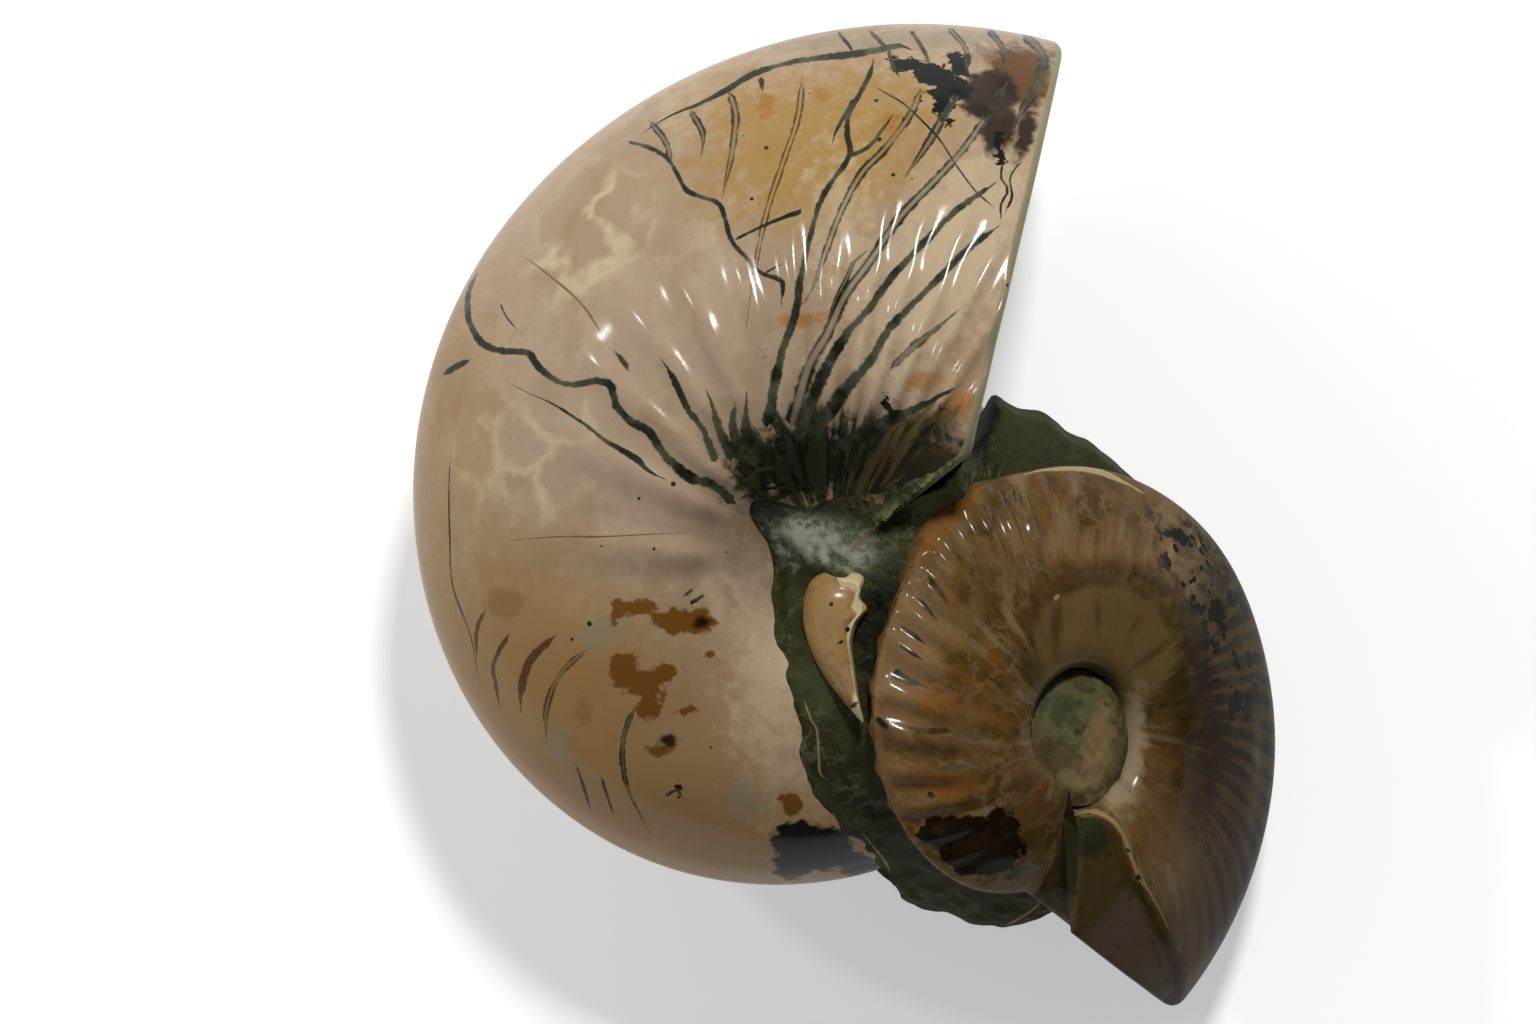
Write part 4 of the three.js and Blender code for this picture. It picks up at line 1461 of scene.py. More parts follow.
    def _relief(self, grid: ShellGrid, broken: Array) -> tuple[Array, Array]:
        """Add the ribs and the bulge, and sink the body chamber and the seam under the umbilical wall.

        A rib stands at each rib angle, swept forwards by a share of the square of the distance
        from the axis, and its height follows a cosine of the place between ribs.

        Args:
            grid: The shell's grid.
            broken: 1 where the shell is broken off the chamber.

        Returns:
            The relief, and the number of ribs passed at each place.
        """
        first, full, last, none = np.radians(self.rib_arc)
        along = ease(grid.angle, first, full) * (1.0 - ease(grid.angle, last, none))
        across = ease(grid.share, *self.rib_rise) * (1.0 - ease(grid.share, *self.rib_fall))
        swept = grid.angle + math.radians(self.rib_sweep) * (grid.share**2 - 0.8)
        angles = np.radians(self.rib_angles)
        before = np.minimum(swept - angles[0], 0.0) / math.radians(self.spacing_before)
        after = np.maximum(swept - angles[-1], 0.0) / math.radians(self.spacing_after)
        phase = np.interp(swept, angles, np.arange(len(angles))) + (before + after)
        off_rim = 1.0 - ease(grid.share, 0.9, 1.0)
        faint = self.faint_height * (0.3 + along) * ease(grid.share, *self.faint_rise) * off_rim
        ribs = (self.rib_height * across * along + faint) * np.cos(TURN * phase)
        fall = 1.0 - ease(grid.angle, *np.radians(self.fall_ends))
        inside = ease(grid.share, 0.24, 0.32) * off_rim
        sunk = broken * inside * (self.sink + self.fall * fall)
        seam = self.seam_depth * np.exp(-(((grid.share - self.seam_at) / self.seam_width) ** 2))
        seam = seam * (0.5 - 0.5 * np.cos(grid.angle + 0.5))
        places = np.stack([grid.angle * 18, grid.share * 50, grid.height * 60], axis=-1)
        worn = 0.12 * swell(places, 12, 8) * ease(grid.share, 0.3, 0.45)
        middle, reach, height = self.bulge
        bulge = height * np.exp(-(((np.degrees(grid.angle) - middle) / reach) ** 2))
        bulge = bulge * ease(grid.share, 0.5, 1.0)
        return ribs * (1.0 - broken) + worn + bulge - sunk - seam * (grid.side > 0), phase

    def _crests(self, grid: ShellGrid, phase: Array) -> Array:
        """Mark the crests of the faint ribs by the body chamber, as a cosine of the place between them.

        Args:
            grid: The shell's grid.
            phase: The number of ribs passed at each place.

        Returns:
            A field that passes zero on the crests.
        """
        first, full, last, none = np.radians(self.faint_arc)
        window = ease(grid.angle, first, full) * (1.0 - ease(grid.angle, last, none))
        window *= ease(grid.share, 0.4, 0.65)
        return 2.0 * np.cos(TURN * self.faint_share * phase) - 6.0 * (1.0 - window)

    def _past_lip(self, grid: ShellGrid, points: Array) -> Array:
        """Measure how far past the broken lip of the body chamber each place is, up to 3 mm.

        Args:
            grid: The shell's grid.
            points: The places of its points, without relief.

        Returns:
            The distance past the lip, negative on the shell's side of it.
        """
        lip = curve_through(np.array(self.lip), 6)
        near = (grid.angle < math.radians(345)) & (grid.side > 0) & (grid.share > 0.2)
        distance = np.full(grid.share.shape, -3.0)
        found, _ = beside_path(points[near][:, :2], lip)
        distance[near] = np.clip(-found, -3.0, 3.0)
        return distance


@dataclass(frozen=True)
class UmbilicusPlug:
    """What fills the ammonite's umbilicus: an inner whorl with sandstone on it."""

    middle: tuple[float, float] = (1.6, -1.6)
    radii: tuple[float, float] = (9.6, 10.8)
    height: float = 9.4
    bottom: float = 2.0
    crown: float = 0.4
    slope: tuple[float, float] = (0.13, -0.1)
    sag: float = 1.4
    ridge: float = 0.1
    ridge_turns: float = 3.5
    waves: tuple[tuple[float, float, int], ...] = ((0.16, 6, 31), (0.1, 2.4, 32))
    stone: tuple = ((34.6, -30.2, 5.0, 4.8, 20), (36.6, -35.2, 1.6, 1.4, 0), (40.6, -27.0, 3.0, 1.6, 30))
    cream: tuple = ((40.2, -36.5, 2.6, 7.5, -6), (37.2, -41.6, 3.6, 2.2, 20))
    rings: int = 48
    columns: int = 180

    def build(self) -> bpy.types.Object:
        """Build the plug's mesh with its fields.

        It is a disc in the coil's leaned frame. Its height rises across it, and a low spiral
        ridge, the cosine of the angle less the radius, is the inner whorl's shoulder.

        Returns:
            The piece.
        """
        share = np.linspace(0.0, 1.0, self.rings + 1)[1:, None]
        angle = np.arange(self.columns)[None, :] * TURN / self.columns
        x = self.middle[0] + self.radii[0] * share * np.cos(angle)
        y = self.middle[1] + self.radii[1] * share * np.sin(angle)
        places = np.stack([x, y, np.zeros_like(x)], axis=-1)
        ridge = self.ridge * np.cos(self.ridge_turns * TURN * share**0.8 - angle) * ease(share, 0.1, 0.5)
        rough = sum(tall * swell(places, length, seed) for tall, length, seed in self.waves)
        height = self.height + self.slope[0] * x + self.slope[1] * y - self.sag * share**4 + ridge + rough
        turned = np.arctan2(y, x)
        reach = np.hypot(x, y)
        upper = AMMONITE_COIL.place(reach, turned, height)
        lower = AMMONITE_COIL.place(reach[-1:], turned[-1:], np.full((1, self.columns), self.bottom))
        rings = np.concatenate([upper, lower, blend(lower, lower.mean(axis=1, keepdims=True), 0.5)], axis=0)
        top = AMMONITE_COIL.place(*(np.asarray(v, float) for v in self._centre(self.height + self.crown)))
        bottom = AMMONITE_COIL.place(*(np.asarray(v, float) for v in self._centre(self.bottom)))
        surface = Surface(rings, top, bottom)
        fields = {
            "plug": surface.field(ovals(rings, self.stone)),
            "pink": surface.field(ovals(rings, self.cream)),
        }
        return make_piece("umbilicus_whorl", surface, fields, 60)

    def _centre(self, height: float) -> tuple[float, float, float]:
        """Return the plug's middle as reach, angle and height."""
        return math.hypot(*self.middle), math.atan2(self.middle[1], self.middle[0]), height


@dataclass(frozen=True)
class MatrixStone:
    """The sandstone between the shells, with a flat foot that reaches under the nautiloid."""

    centre: tuple[float, float] = (22.9, -27.7)
    outline: tuple = (
        (49.3, 5.6, 32), (34.9, 14.9, 42), (23.7, 20, 49), (18.1, 10.7, 70), (9.3, 4.3, 66),
        (-6.7, 1.9, 61), (-15.5, 2.7, 58), (-11.6, -4.4, 57), (-10.8, -11.5, 57), (-10.8, -19.6, 62.3),
        (-6.8, -32.4, 62.9), (-6, -42, 59.4), (1.2, -51.6, 50.6), (7.7, -58.1, 38), (10.1, -62.1, 27),
        (26.1, -67, 22), (34.1, -64, 22), (46, -58, 17), (55.7, -42, 13), (57.3, -29.3, 12),
        (55.7, -13.3, 18),
    )
    # Between these directions from its centre, the top meets the nautiloid's flank.
    meets_shell: tuple[float, ...] = (88, 100, 240, 250)
    # Between these, it also covers the floor of the nautiloid's umbilicus.
    fills_umbilicus: tuple[float, ...] = (98, 108, 142, 158)
    bed: float = 0.55
    uneven: float = 0.45
    shoulder: float = 0.97
    shoulder_drop: float = 3.0
    waist: float = 0.9
    # How far it stands over the nautiloid's flank, from where and how gently, and how far in
    # from its edge it follows the flank.
    lap: float = 1.3
    lap_from: float = 0.2
    lap_width: float = 1.2
    follows: tuple[float, float] = (4.0, 12.0)
    # How far it covers the umbilicus's floor, and how far in from its edge.
    cover: float = 0.8
    cover_reach: float = 24.0
    foot: tuple[float, float] = (8, -20)
    foot_radii: tuple[float, float] = (36, 33)
    columns: int = 400
    top_rings: int = 110
    side_rings: int = 60
    # The height, the wavelength and the seed of each of the waves that roughen it.
    waves: tuple[tuple[float, float, int], ...] = ((0.3, 16, 21), (0.16, 5, 22), (0.07, 2.2, 23))
    dusty: tuple = ((-6.5, -2.5, 8, 4.6, -12), (2, -5.5, 4, 3, 0))
    porous: tuple = (
        (6.0, -18, 3.2, 11, -4), (-11, 1.9, 6, 1.9, -5), (1.5, 2.3, 9, 1.9, 9), (8.5, -1.5, 4, 1.6, 40),
    )
    tan: tuple = ((4.3, 4.3, 2.6, 1.4, -30), (3, -3.6, 2.4, 0.5, 40), (20, 8.4, 1.2, 0.8, 30))
    grey: tuple = ((42, 8, 20, 9, -35), (12, 2, 12, 6, 30), (-4, -26, 4, 5, 0))
    swirl: tuple = ((9, 6.4, 6, 2.4, 10),)
    # Painted light: a paler patch where the nautiloid's corner casts its shadow on the sandstone.
    lit: tuple = ((12, 2.2, 9, 3.4, 38), (18, 7, 2.4, 1.4, 40))
    knob: tuple = ((0.8, 3.2, 3.4, 2.0, -20), (3.4, 2.2, 2.0, 1.4, 20))
    # Painted shadow: near-black in the slit between the nautiloid's aperture and the sandstone.
    gap: tuple = ((22.6, 16.4, 2.2, 5.5, -14),)
    marks: tuple[str, ...] = ("dusty", "porous", "tan", "grey", "swirl", "lit", "knob", "gap")

    def build(self) -> bpy.types.Object:
        """Build the matrix's mesh with its fields.

        Returns:
            The piece.
        """
        edge, top = self._edge()
        centre = np.array(self.centre)
        share = np.linspace(0.0, 1.0, self.top_rings + 1)[1:, None]
        plan = centre + (edge[None] - centre) * share[..., None]
        height = self._top(plan, share, edge, top)
        upper = np.concatenate([plan, height[..., None]], axis=-1)
        rings = np.concatenate([upper, self._side(edge, upper[-1, :, 2])], axis=0)
        rough = sum(tall * swell(rings, length, seed) for tall, length, seed in self.waves)
        outwards = np.concatenate([rings[..., :2] - centre, np.full((*rings.shape[:2], 1), 30.0)], axis=-1)
        outwards /= np.linalg.norm(outwards, axis=-1, keepdims=True)
        rings = rings + outwards * (rough * ease(rings[..., 2], 0.0, 4.0))[..., None]
        rings[..., 2] = np.maximum(rings[..., 2], 0.0)
        surface = Surface(rings, np.array([*centre, bed_height(*centre)]), np.array([*self.foot, 0.0]))
        fields = {name: surface.field(ovals(rings, getattr(self, name))) for name in self.marks}
        for layer, veins in enumerate(share_out(MATRIX_VEINS)):
            fields[f"vein_{layer}"] = vein_field(surface.points(), veins)
        return make_piece("matrix_sandstone", surface, fields, 60)

    def _edge(self) -> tuple[Array, Array]:
        """Round the outline: straight sides, softened by a bell of weights over a few columns.

        Returns:
            The edge in plan, and the height of the top along it.
        """
        centre = np.array(self.centre)
        outline = np.array(self.outline, float)
        turned = np.arctan2(outline[:, 1] - centre[1], outline[:, 0] - centre[0])
        outline = outline[np.argsort(turned)]
        fine = np.linspace(0.0, 1.0, 24, endpoint=False)[:, None, None]
        dense = blend(outline[None], np.roll(outline, -1, axis=0)[None], fine)
        dense = dense.transpose(1, 0, 2).reshape(-1, 3)
        dense_angle = np.unwrap(np.arctan2(dense[:, 1] - centre[1], dense[:, 0] - centre[0]))
        angle = dense_angle[0] + np.arange(self.columns) * TURN / self.columns
        weights = np.array([1, 4, 6, 4, 1]) / 16

        def softened(values: Array) -> Array:
            """Sample values of the dense outline at the columns, and soften them.

            Args:
                values: One value for each point of the dense outline.

            Returns:
                One value for each column.
            """
            closed_angle = np.append(dense_angle, dense_angle[0] + TURN)
            sampled = np.interp(angle, closed_angle, np.append(values, values[0]))
            padded = np.concatenate([sampled[-2:], sampled, sampled[:2]])
            return np.convolve(padded, weights, mode="valid")

        radius = softened(np.hypot(dense[:, 0] - centre[0], dense[:, 1] - centre[1]))
        around = np.stack([np.cos(angle), np.sin(angle)], axis=1)
        radius = radius + self.uneven * swell(radius[:, None] * around, 9, 24)
        return centre + radius[:, None] * around, softened(dense[:, 2])

    def _top(self, plan: Array, share: Array, edge: Array, top: Array) -> Array:
        """Work out the top's height.

        Inside the bed's share it lies on the ammonite's bed, and from there it goes straight
        to the shoulder. Near the nautiloid it isn't lower than just over the shell's flank.

        Args:
            plan: The top's places.
            share: Their shares of the way from the centre to the edge.
            edge: The outline in plan.
            top: The heights along it.

        Returns:
            The height at each place.
        """
        centre = np.array(self.centre)
        inner = centre + (edge - centre) * self.bed
        from_bed = np.clip((share - self.bed) / (self.shoulder - self.bed), 0.0, 1.0)
        level = blend(bed_height(*inner.T)[None], top[None], from_bed)
        height = np.where(share < self.bed, bed_height(plan[..., 0], plan[..., 1]), level)
        angle = np.degrees(np.arctan2(edge[:, 1] - centre[1], edge[:, 0] - centre[0])) % 360
        first, full, last, none = self.meets_shell
        meets = ease(angle, first, full) * (1.0 - ease(angle, last, none))
        height = height - self.shoulder_drop * ease(share, self.shoulder, 1.0) * (1.0 - meets[None])
        inside = (1.0 - share) * np.linalg.norm(edge - centre, axis=1)[None]
        flank = NAUTILOID_COIL.top_height(plan)
        crest = flank + self.lap * (1.0 - np.exp(-(inside - self.lap_from) / self.lap_width))
        near = (1.0 - ease(inside, *self.follows)) * meets[None]
        high = blend(np.maximum(crest, height), crest, 1.0 - ease(inside, 0.5, 3.0))
        height = blend(height, high, near)
        first, full, last, none = self.fills_umbilicus
        fills = ease(angle, first, full) * (1.0 - ease(angle, last, none))
        cover = flank + self.cover - 6.0 * (1.0 - fills[None])
        covered = (fills[None] > 0.0) & (inside < self.cover_reach)
        return np.where(covered, np.maximum(height, cover), height)

    def _side(self, edge: Array, top: Array) -> Array:
        """Carry the edge down through the waist to the flat foot.

        Args:
            edge: The outline in plan.
            top: The heights of the top's edge.

        Returns:
            The rings below the top, down to those under the foot.
        """
        centre = np.array(self.centre)
        angle = np.arctan2(edge[:, 1] - centre[1], edge[:, 0] - centre[0])
        around = np.stack([np.cos(angle), np.sin(angle)], axis=1)
        foot = np.array(self.foot) + np.array(self.foot_radii) * around
        waist = centre + (edge - centre) * self.waist
        stations = np.stack(
            [
                np.column_stack([edge, top]),
                np.column_stack([waist, top * 0.45]),
                np.column_stack([foot, np.zeros(len(foot))]),
            ]
        )
        fine = np.linspace(0.0, 2.0, self.side_rings)[1:]
        lower = np.minimum(fine.astype(int), 1)
        rings = blend(stations[lower], stations[lower + 1], (fine - lower)[:, None, None])
        shares = np.array([0.25, 0.5, 0.75])[:, None, None]
        return np.concatenate([rings, blend(rings[-1:], np.array([*self.foot, 0.0]), shares)], axis=0)


@dataclass(frozen=True)
class ShellScrap:
    """The crescent of a third shell, a low dome in the matrix."""

    peak: tuple[float, float] = (-1.6, -16.5)
    base: float = 65.3
    rise: float = 3.2
    tilt: float = 0.45
    lip: float = 0.7
    lip_at: float = 0.83
    lip_width: float = 0.09
    thickness: float = 2.0
    pale_from: float = 0.68
    flecks: tuple = (
        (-2, -13.6, 0.35, 0.35, 0), (0.6, -17.6, 0.35, 0.4, 0), (-0.6, -19.6, 0.6, 0.25, 30),
        (1.6, -29.4, 0.9, 0.4, 40),
    )
    outline: tuple = (
        (2.6, -8.9), (-1.2, -8.3), (-4.6, -9.4), (-6.2, -12.4), (-6.4, -16.5), (-5.4, -20.4),
        (-3.7, -23.9), (-1.2, -27.5), (1.0, -30.1), (3.1, -32.2), (2.5, -29), (2.1, -26.3),
        (1.6, -22.8), (1.3, -19.8), (2.2, -16.6), (3.7, -14.4), (3.0, -12.2), (3.2, -10.3),
    )
    rings: int = 30

    def build(self) -> bpy.types.Object:
        """Build the scrap's mesh with its fields.

        Its height over the base is rise * (1 - s^2.6)^0.6, where s is the share of the way out,
        and a bell-shaped lip stands along its right edge.

        Returns:
            The piece.
        """
        peak = np.array(self.peak)
        outline = np.array(self.outline, float)
        closed = np.vstack([outline[-2:], outline, outline[:2]])
        edge = curve_through(closed, 8)[16 : 16 + 8 * len(outline)]
        share = np.linspace(0.0, 1.0, self.rings + 1)[1:, None]
        plan = peak + (edge[None] - peak) * share[..., None]
        dome = (1.0 - share**2.6) ** 0.6
        height = self.base + self.rise * dome + self.tilt * (plan[..., 0] - peak[0])
        bell = np.exp(-(((share - self.lip_at) / self.lip_width) ** 2))
        height = height + self.lip * bell * self._right_of_peak(plan)
        upper = np.concatenate([plan, height[..., None]], axis=-1)
        under = upper[-1:] - np.array([0.0, 0.0, self.thickness])
        flat = np.concatenate([blend(under[..., :2], peak, 0.5), under[..., 2:]], axis=-1)
        rings = np.concatenate([upper, under, flat], axis=0)
        top = np.array([*peak, self.base + self.rise])
        surface = Surface(rings, top, np.array([*peak, self.base - self.thickness]))
        rim = np.concatenate([np.broadcast_to(share, plan.shape[:2]), np.ones((2, len(edge)))], axis=0)
        fields = {
            "rim": surface.field((rim - self.pale_from) * 6 - 3.0 * (1.0 - self._right_of_peak(rings))),
            "fleck": surface.field(ovals(rings, self.flecks)),
        }
        return make_piece("shell_scrap_polished", surface, fields, 60)

    def _right_of_peak(self, points: Array) -> Array:
        """Tell the right side from the left: 1 there and 0 here, past a line that leans a little."""
        across = points[..., 0] - self.peak[0] + 0.12 * (points[..., 1] - self.peak[1])
        return ease(across, 0.5, 2.0)


# Polished calcite of a nautiloid shell: warm tan with cream clouds under a wet-looking polish, with painted
# shade on its lower flank and painted light by the grooves at the upper right.
NAUTILOID_CALCITE = Finish(
    name="polished_tan_calcite",
    base="#a9927a",
    cloud="#9c856a",
    cloud_size=26.0,
    pale="#b9a587",
    pale_size=26.0,
    pale_strength=0.5,
    roughness=0.4,
    coat=0.34,
    polish=0.13,
    specular=0.02,
    grain_size=3.0,
    grain_depth=0.03,
    streaks=(
        Streak("#8d7152", 1.2, 0.5, 0.52, 0.72, 0.5),
        Streak("#b8a68a", 0.8, 0.5, 0.55, 0.75, 0.5),
    ),
    layers=(
        # Painted shade over the lower left flank and the left rim, partly the shell's own browner colour.
        Layer("shade", "#95703b", soft=26.0, ragged=3.0, strength=0.85),
        Layer("warm", "#94765a", soft=12.0, ragged=3.0, strength=0.5),
        Layer("amber_zone", "#987638", edge=2.0, soft=12.0, ragged=5.0, strength=0.85),
        # Cream: painted light by the grooves at the upper right, and the shell's own cream at the lower left.
        Layer("cream", "#bda98a", soft=9.0, ragged=5.0, strength=0.6),
        Layer("grey", "#857c66", edge=0.6, soft=2.2, ragged=1.2, strength=0.6),
        Layer("spots", "#7f5a31", soft=1.4, ragged=0.4, strength=0.55),
        Layer("orange", "#93611f", edge=0.3, soft=1.4, ragged=0.8, strength=0.75),
        Layer("amber", "#6a430e", soft=0.7, ragged=0.8, strength=0.95),
        Layer("umber", "#5a3403", soft=2.6, ragged=0.9, strength=0.96),
        Layer("brown", "#1f1000", soft=1.4, ragged=0.7, strength=0.95),
        Layer("black", "#0d0c06", soft=0.25, ragged=1.0),
        Layer("slate", "#0f120c", soft=0.8, ragged=0.7),
        Layer("crust", "#383b24", soft=3.4, ragged=4.4, grain=Grain.FLOWING),
        Layer("crust", "#15170d", edge=1.2, soft=3.6, ragged=-3.4, strength=0.85),
        Layer("crust", "#4d4e37", edge=3.0, soft=2.4, ragged=4.5, strength=0.5, grain=Grain.FLOWING),
        Layer("swirl", "#66522f", soft=3.0, ragged=3.0, strength=0.65, grain=Grain.FLOWING),
        Layer("swirl", "#1b1b0f", edge=1.0, soft=2.4, ragged=-3.2, strength=0.7, grain=Grain.FLOWING),
        Layer("rim", "#8a8263", soft=0.3, ragged=0.15, strength=0.9),
        Layer("infill", "#2e3120", soft=0.3, ragged=0.4),
        Layer("infill", "#1d2014", edge=8.0, soft=3.0, ragged=-4.0, strength=0.8),
        Layer("infill", "#4f4e36", edge=8.6, soft=3.0, ragged=4.0, strength=0.7),
    ),
    nets=(Net("net", "#c0ad8d", 12.0, 1.6, 0.75),),
    speckles=(Speckle("flecks", "#2e2814", 4.0, 0.12),),
    dull_field="crust",
    dull=0.6,
    vein_layers=len(share_out(NAUTILOID_VEINS)),
)

# Polished brown calcite of an ammonite, streaked along its ribs, with painted shade on its right flank and a
# painted highlight on its umbilical wall.
AMMONITE_CALCITE = Finish(
    name="polished_brown_calcite",
    base="#6a5130",
    cloud="#4d3719",
    cloud_size=9.0,
    pale="#85704c",
    pale_size=8.0,
    pale_strength=0.4,
    roughness=0.4,
    coat=0.21,
    polish=0.12,
    specular=0.0,
    grain_size=2.0,
    grain_depth=0.05,
    streaks=(
        Streak("#764b21", 0.9, 0.6, 0.5, 0.7, 0.52),
        Streak("#7a6a4c", 1.1, 0.8, 0.52, 0.68, 0.7),
        Streak("#3a2912", 1.3, 0.9, 0.55, 0.72, 0.7),
    ),
    layers=(
        Layer("pale_ribs", "#87694a", soft=6.0, ragged=2.6, strength=0.6, grain=Grain.FLOWING),
        # Painted shade: near-black over the right flank, which faces away from the lamps.
        Layer("shade", "#190f02", soft=17.0, ragged=2.5, strength=0.92, grain=Grain.FLOWING),
        Layer("crests", "#5c4522", soft=2.8, ragged=2.6, strength=0.45, grain=Grain.FLOWING),
        Layer("step", "#35280f", soft=3.5, ragged=1.2, strength=0.55, grain=Grain.FLOWING),
        Layer("tan", "#705d38", soft=2.0, ragged=1.4, strength=0.5, grain=Grain.FLOWING),
        Layer("spokes", "#33230d", edge=0.4, soft=1.3, ragged=0.5, strength=0.6, grain=Grain.FLOWING),
        Layer("rust", "#7c4a16", soft=2.0, ragged=1.2, strength=0.5),
        Layer("inner", "#57492d", soft=1.6, ragged=1.0, strength=0.7),
        # The umbilical wall: the shell's own pale colour with a painted highlight along it.
        Layer("wall", "#8d7e62", soft=2.6, ragged=0.9, strength=0.88),
        Layer("pink", "#7b644a", soft=1.6, ragged=1.4),
        Layer("plug", "#3c3c26", soft=0.8, ragged=1.2),
        Layer("hollow", "#1d1407", soft=0.5, ragged=1.1),
        Layer("hollow", "#33261a", edge=2.0, soft=1.6, ragged=-2.6, strength=0.45),
        Layer("chamber", "#403119", soft=0.6, ragged=0.3),
        Layer("chamber", "#241b0c", edge=1.9, soft=1.4, ragged=-1.3, strength=0.7),
        Layer("chamber", "#4b3b22", edge=2.1, soft=1.2, ragged=1.3, strength=0.6),
        Layer("pocket", "#2a2b1a", soft=1.2, ragged=1.2),
    ),
    nets=(Net("specks", "#97805a", 3.4, 1.5, 0.9),),
    speckles=(Speckle("specks", "#0a0601", 1.8, 0.82),),
    dull_field="pocket",
    vein_layers=len(share_out(AMMONITE_VEINS)),
)

# The ammonite's inner whorl, worn pale, with the green stone left on it.
WHORL_CALCITE = Finish(
    name="worn_pale_calcite",
    base="#574c2d",
    cloud="#463d24",
    cloud_size=6.0,
    pale="#74654a",
    pale_size=6.0,
    pale_strength=0.4,
    roughness=0.4,
    coat=0.0,
    polish=0.3,
    specular=0.2,
    grain_size=1.5,
    grain_depth=0.12,
    layers=(
        Layer("pink", "#7c6743", soft=2.0, ragged=1.6, strength=0.9),
        Layer("plug", "#5b5837", soft=1.6, ragged=1.8),
        Layer("plug", "#2b2c1a", edge=1.6, soft=1.6, ragged=-2.0, strength=0.5),
    ),
)

# Polished calcite of a scrap of shell: peach, glossy and a little thin at its edge.
SCRAP_CALCITE = Finish(
    name="polished_peach_calcite",
    base="#957646",
    cloud="#86653a",
    cloud_size=8.0,
    pale="#a58a63",
    pale_size=9.0,
    pale_strength=0.4,
    roughness=0.35,
    coat=0.4,
    polish=0.12,
    specular=0.05,
    grain_size=3.0,
    grain_depth=0.04,
    layers=(
        Layer("rim", "#c2ad85", soft=0.6, ragged=0.5, strength=0.9),
        Layer("fleck", "#1c1206", soft=0.15, ragged=0.1),
    ),
)

# Greenish sandstone, smoothed by hand tools: fine grains, dusty patches and small pores, with painted light
# in the nautiloid's cast shadow and a painted shadow in the slit by its aperture.
MATRIX_SANDSTONE = Finish(
    name="smoothed_green_sandstone",
    base="#38391f",
    cloud="#2a2a16",
    cloud_size=10.0,
    pale="#5d5d44",
    pale_size=6.0,
    pale_strength=0.6,
    roughness=0.62,
    coat=0.0,
    polish=0.3,
    specular=0.06,
    grain_size=0.9,
    grain_depth=0.3,
    layers=(
        Layer("grey", "#3e4229", soft=6.0, ragged=3.0, strength=0.8),
        Layer("swirl", "#3f3523", soft=2.0, ragged=1.6, strength=0.8),
        # Painted light on the sandstone in the nautiloid's cast shadow.
        Layer("lit", "#85875d", soft=3.6, ragged=2.2, strength=0.75),
        # Painted shadow: near-black in the slit between the nautiloid's aperture and the sandstone.
        Layer("gap", "#0d0e07", soft=1.6, ragged=0.8, strength=0.95),
        Layer("dusty", "#6a7160", soft=5.0, ragged=2.0, strength=0.7),
        Layer("dusty", "#8b907b", edge=1.6, soft=3.8, ragged=3.8, strength=0.75),
        Layer("knob", "#7d6a47", soft=1.4, ragged=1.2, strength=0.85),
        Layer("porous", "#1d2014", soft=2.2, ragged=2.6, strength=0.8),
        Layer("tan", "#63583c", soft=0.5, ragged=0.5, strength=0.9),
    ),
    speckles=(Speckle("porous", "#0b0c06", 1.2, 0.6),),
    vein_layers=len(share_out(MATRIX_VEINS)),
)


@dataclass(frozen=True)
class Lamp:
    """A square light that faces the fossil: its direction, distance and size in metres, and watts."""

    name: str
    towards: tuple[float, float, float]
    distance: float
    size: float
    power: float

    def build(self) -> None:
        """Hang the lamp."""
        data = bpy.data.lights.new(self.name, "AREA")
        data.energy = self.power
        data.size = self.size
        lamp = bpy.data.objects.new(self.name, data)
        direction = np.array(self.towards) / np.linalg.norm(self.towards)
        lamp.location = direction * self.distance
        lamp.rotation_euler = (0.0, math.acos(direction[2]), math.atan2(direction[1], direction[0]))
        bpy.context.scene.collection.objects.link(lamp)


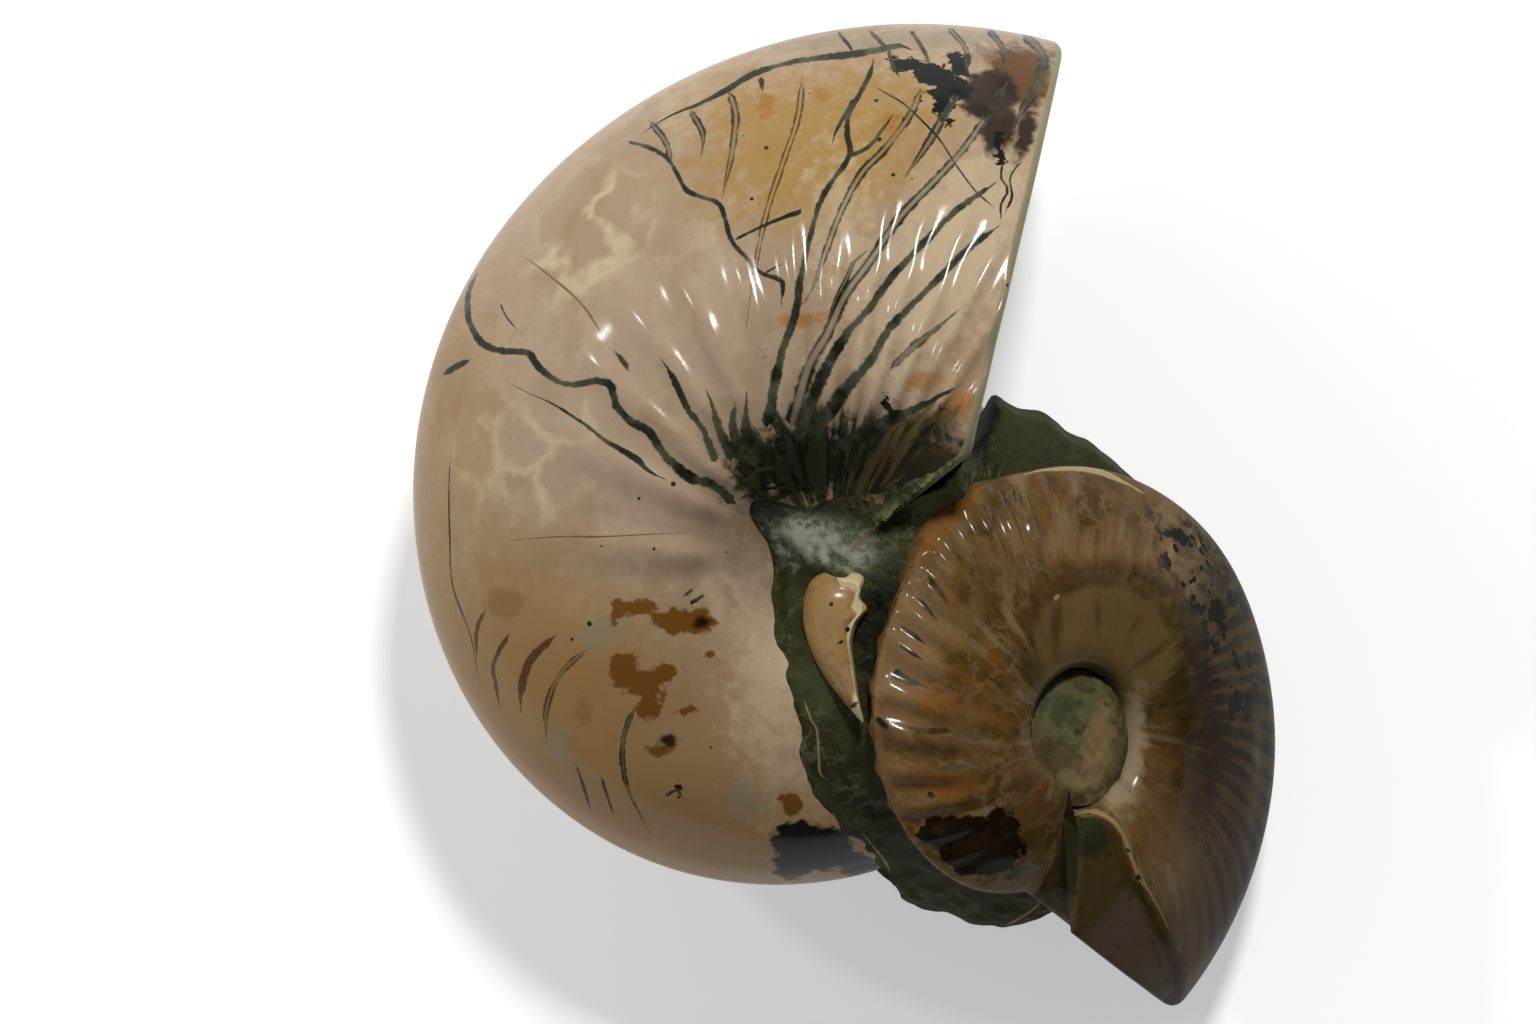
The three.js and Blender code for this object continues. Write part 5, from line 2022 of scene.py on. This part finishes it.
@dataclass(frozen=True)
class Studio:
    """The pale floor, the soft lights and the camera over the fossil."""

    seen_width: float = 245.76
    seen_height: float = 40.0
    camera: tuple[float, float, float] = (-12.62, 1.28, 1500.0)
    sensor: float = 36.0
    floor_half: float = 4.0
    paper: str = "#e2e2e0"
    paper_glow: float = 0.43
    glow: str = "#f4f7fc"
    # The glow's strength from low down to overhead, and from the far side to where it comes from.
    glow_heights: tuple[float, float, float, float] = (0.3, 0.8, 0.42, 0.16)
    glow_sides: tuple[float, float, float, float] = (-0.5, 0.9, 0.15, 2.2)
    glow_from: tuple[float, float, float] = (-0.8, 0.6, 0.0)
    lamps: tuple[Lamp, ...] = (
        Lamp("key", (0.1, 0.56, 0.83), 1.6, 0.17, 17.0),
        Lamp("left", (-0.68, 0.36, 0.64), 1.6, 0.09, 2.9),
    )

    def build(self) -> None:
        """Set up the floor, the lamps, the pale surroundings and the camera."""
        self._floor()
        for lamp in self.lamps:
            lamp.build()
        self._surroundings()
        self._camera()

    def _floor(self) -> None:
        """Lay a wide pale floor under the fossil."""
        mesh = bpy.data.meshes.new("floor")
        h = self.floor_half
        mesh.from_pydata([(-h, -h, 0), (h, -h, 0), (h, h, 0), (-h, h, 0)], [], [(0, 1, 2, 3)])
        floor = bpy.data.objects.new("floor", mesh)
        bpy.context.scene.collection.objects.link(floor)
        material = bpy.data.materials.new("pale_backdrop_paper")
        material.use_nodes = True
        tree = material.node_tree
        tree.nodes.clear()
        paper = {
            "Base Color": linear(self.paper),
            "Roughness": 0.95,
            "Specular IOR Level": 0.1,
            "Emission Color": linear("#ffffff"),
            "Emission Strength": self.paper_glow,
        }
        add_node(tree, Kind.MATERIAL, add_node(tree, Kind.SURFACE, inputs=paper))
        mesh.materials.append(material)

    def _surroundings(self) -> None:
        """Make the surroundings pale low down, most of all to the upper left, and dim overhead."""
        world = bpy.data.worlds.new("studio")
        bpy.context.scene.world = world
        world.use_nodes = True
        tree = world.node_tree
        tree.nodes.clear()
        direction = add_node(tree, Kind.DIRECTION)
        height = add_node(tree, Kind.HEIGHT, direction)
        low = add_node(tree, Kind.EASE, height, *self.glow_heights)
        facing = add_node(tree, Kind.FACING, direction, self.glow_from)
        side = add_node(tree, Kind.EASE, facing, *self.glow_sides)
        strength = add_node(tree, Kind.MATHS, low, side, operation="MULTIPLY")
        add_node(tree, Kind.WORLD, add_node(tree, Kind.GLOW, linear(self.glow), strength))

    def _camera(self) -> None:
        """Stand the camera over the fossil, looking straight down."""
        data = bpy.data.cameras.new("camera")
        data.sensor_width = self.sensor
        data.lens = self.sensor * (self.camera[2] - self.seen_height) / self.seen_width
        data.clip_start, data.clip_end = 0.05, 20.0
        camera = bpy.data.objects.new("camera", data)
        camera.location = [value / METRE for value in self.camera]
        bpy.context.scene.collection.objects.link(camera)
        bpy.context.scene.camera = camera


def main() -> None:
    """Build every piece, dress it and set up the studio."""
    logging.basicConfig(level=logging.INFO)
    parts = (
        (Nautiloid(), NAUTILOID_CALCITE, "nautiloid_shell", "nautiloid_calcite"),
        (Ammonite(), AMMONITE_CALCITE, "ammonite_shell", "ammonite_calcite"),
        (UmbilicusPlug(), WHORL_CALCITE, "ammonite_shell", "ammonite_calcite"),
        (ShellScrap(), SCRAP_CALCITE, "shell_fragment", "fragment_calcite"),
        (MatrixStone(), MATRIX_SANDSTONE, "matrix_stone", "matrix_sandstone"),
    )
    for part, finish, node, slot in parts:
        piece = part.build()
        piece.data.materials.append(finish.material())
        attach(piece, "root")
        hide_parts(node)
        LOG.info("%s: %d faces", piece.name, len(piece.data.polygons))
    Studio().build()
    bpy.context.scene.view_settings.view_transform = "Standard"


if __name__ == "__main__":
    main()
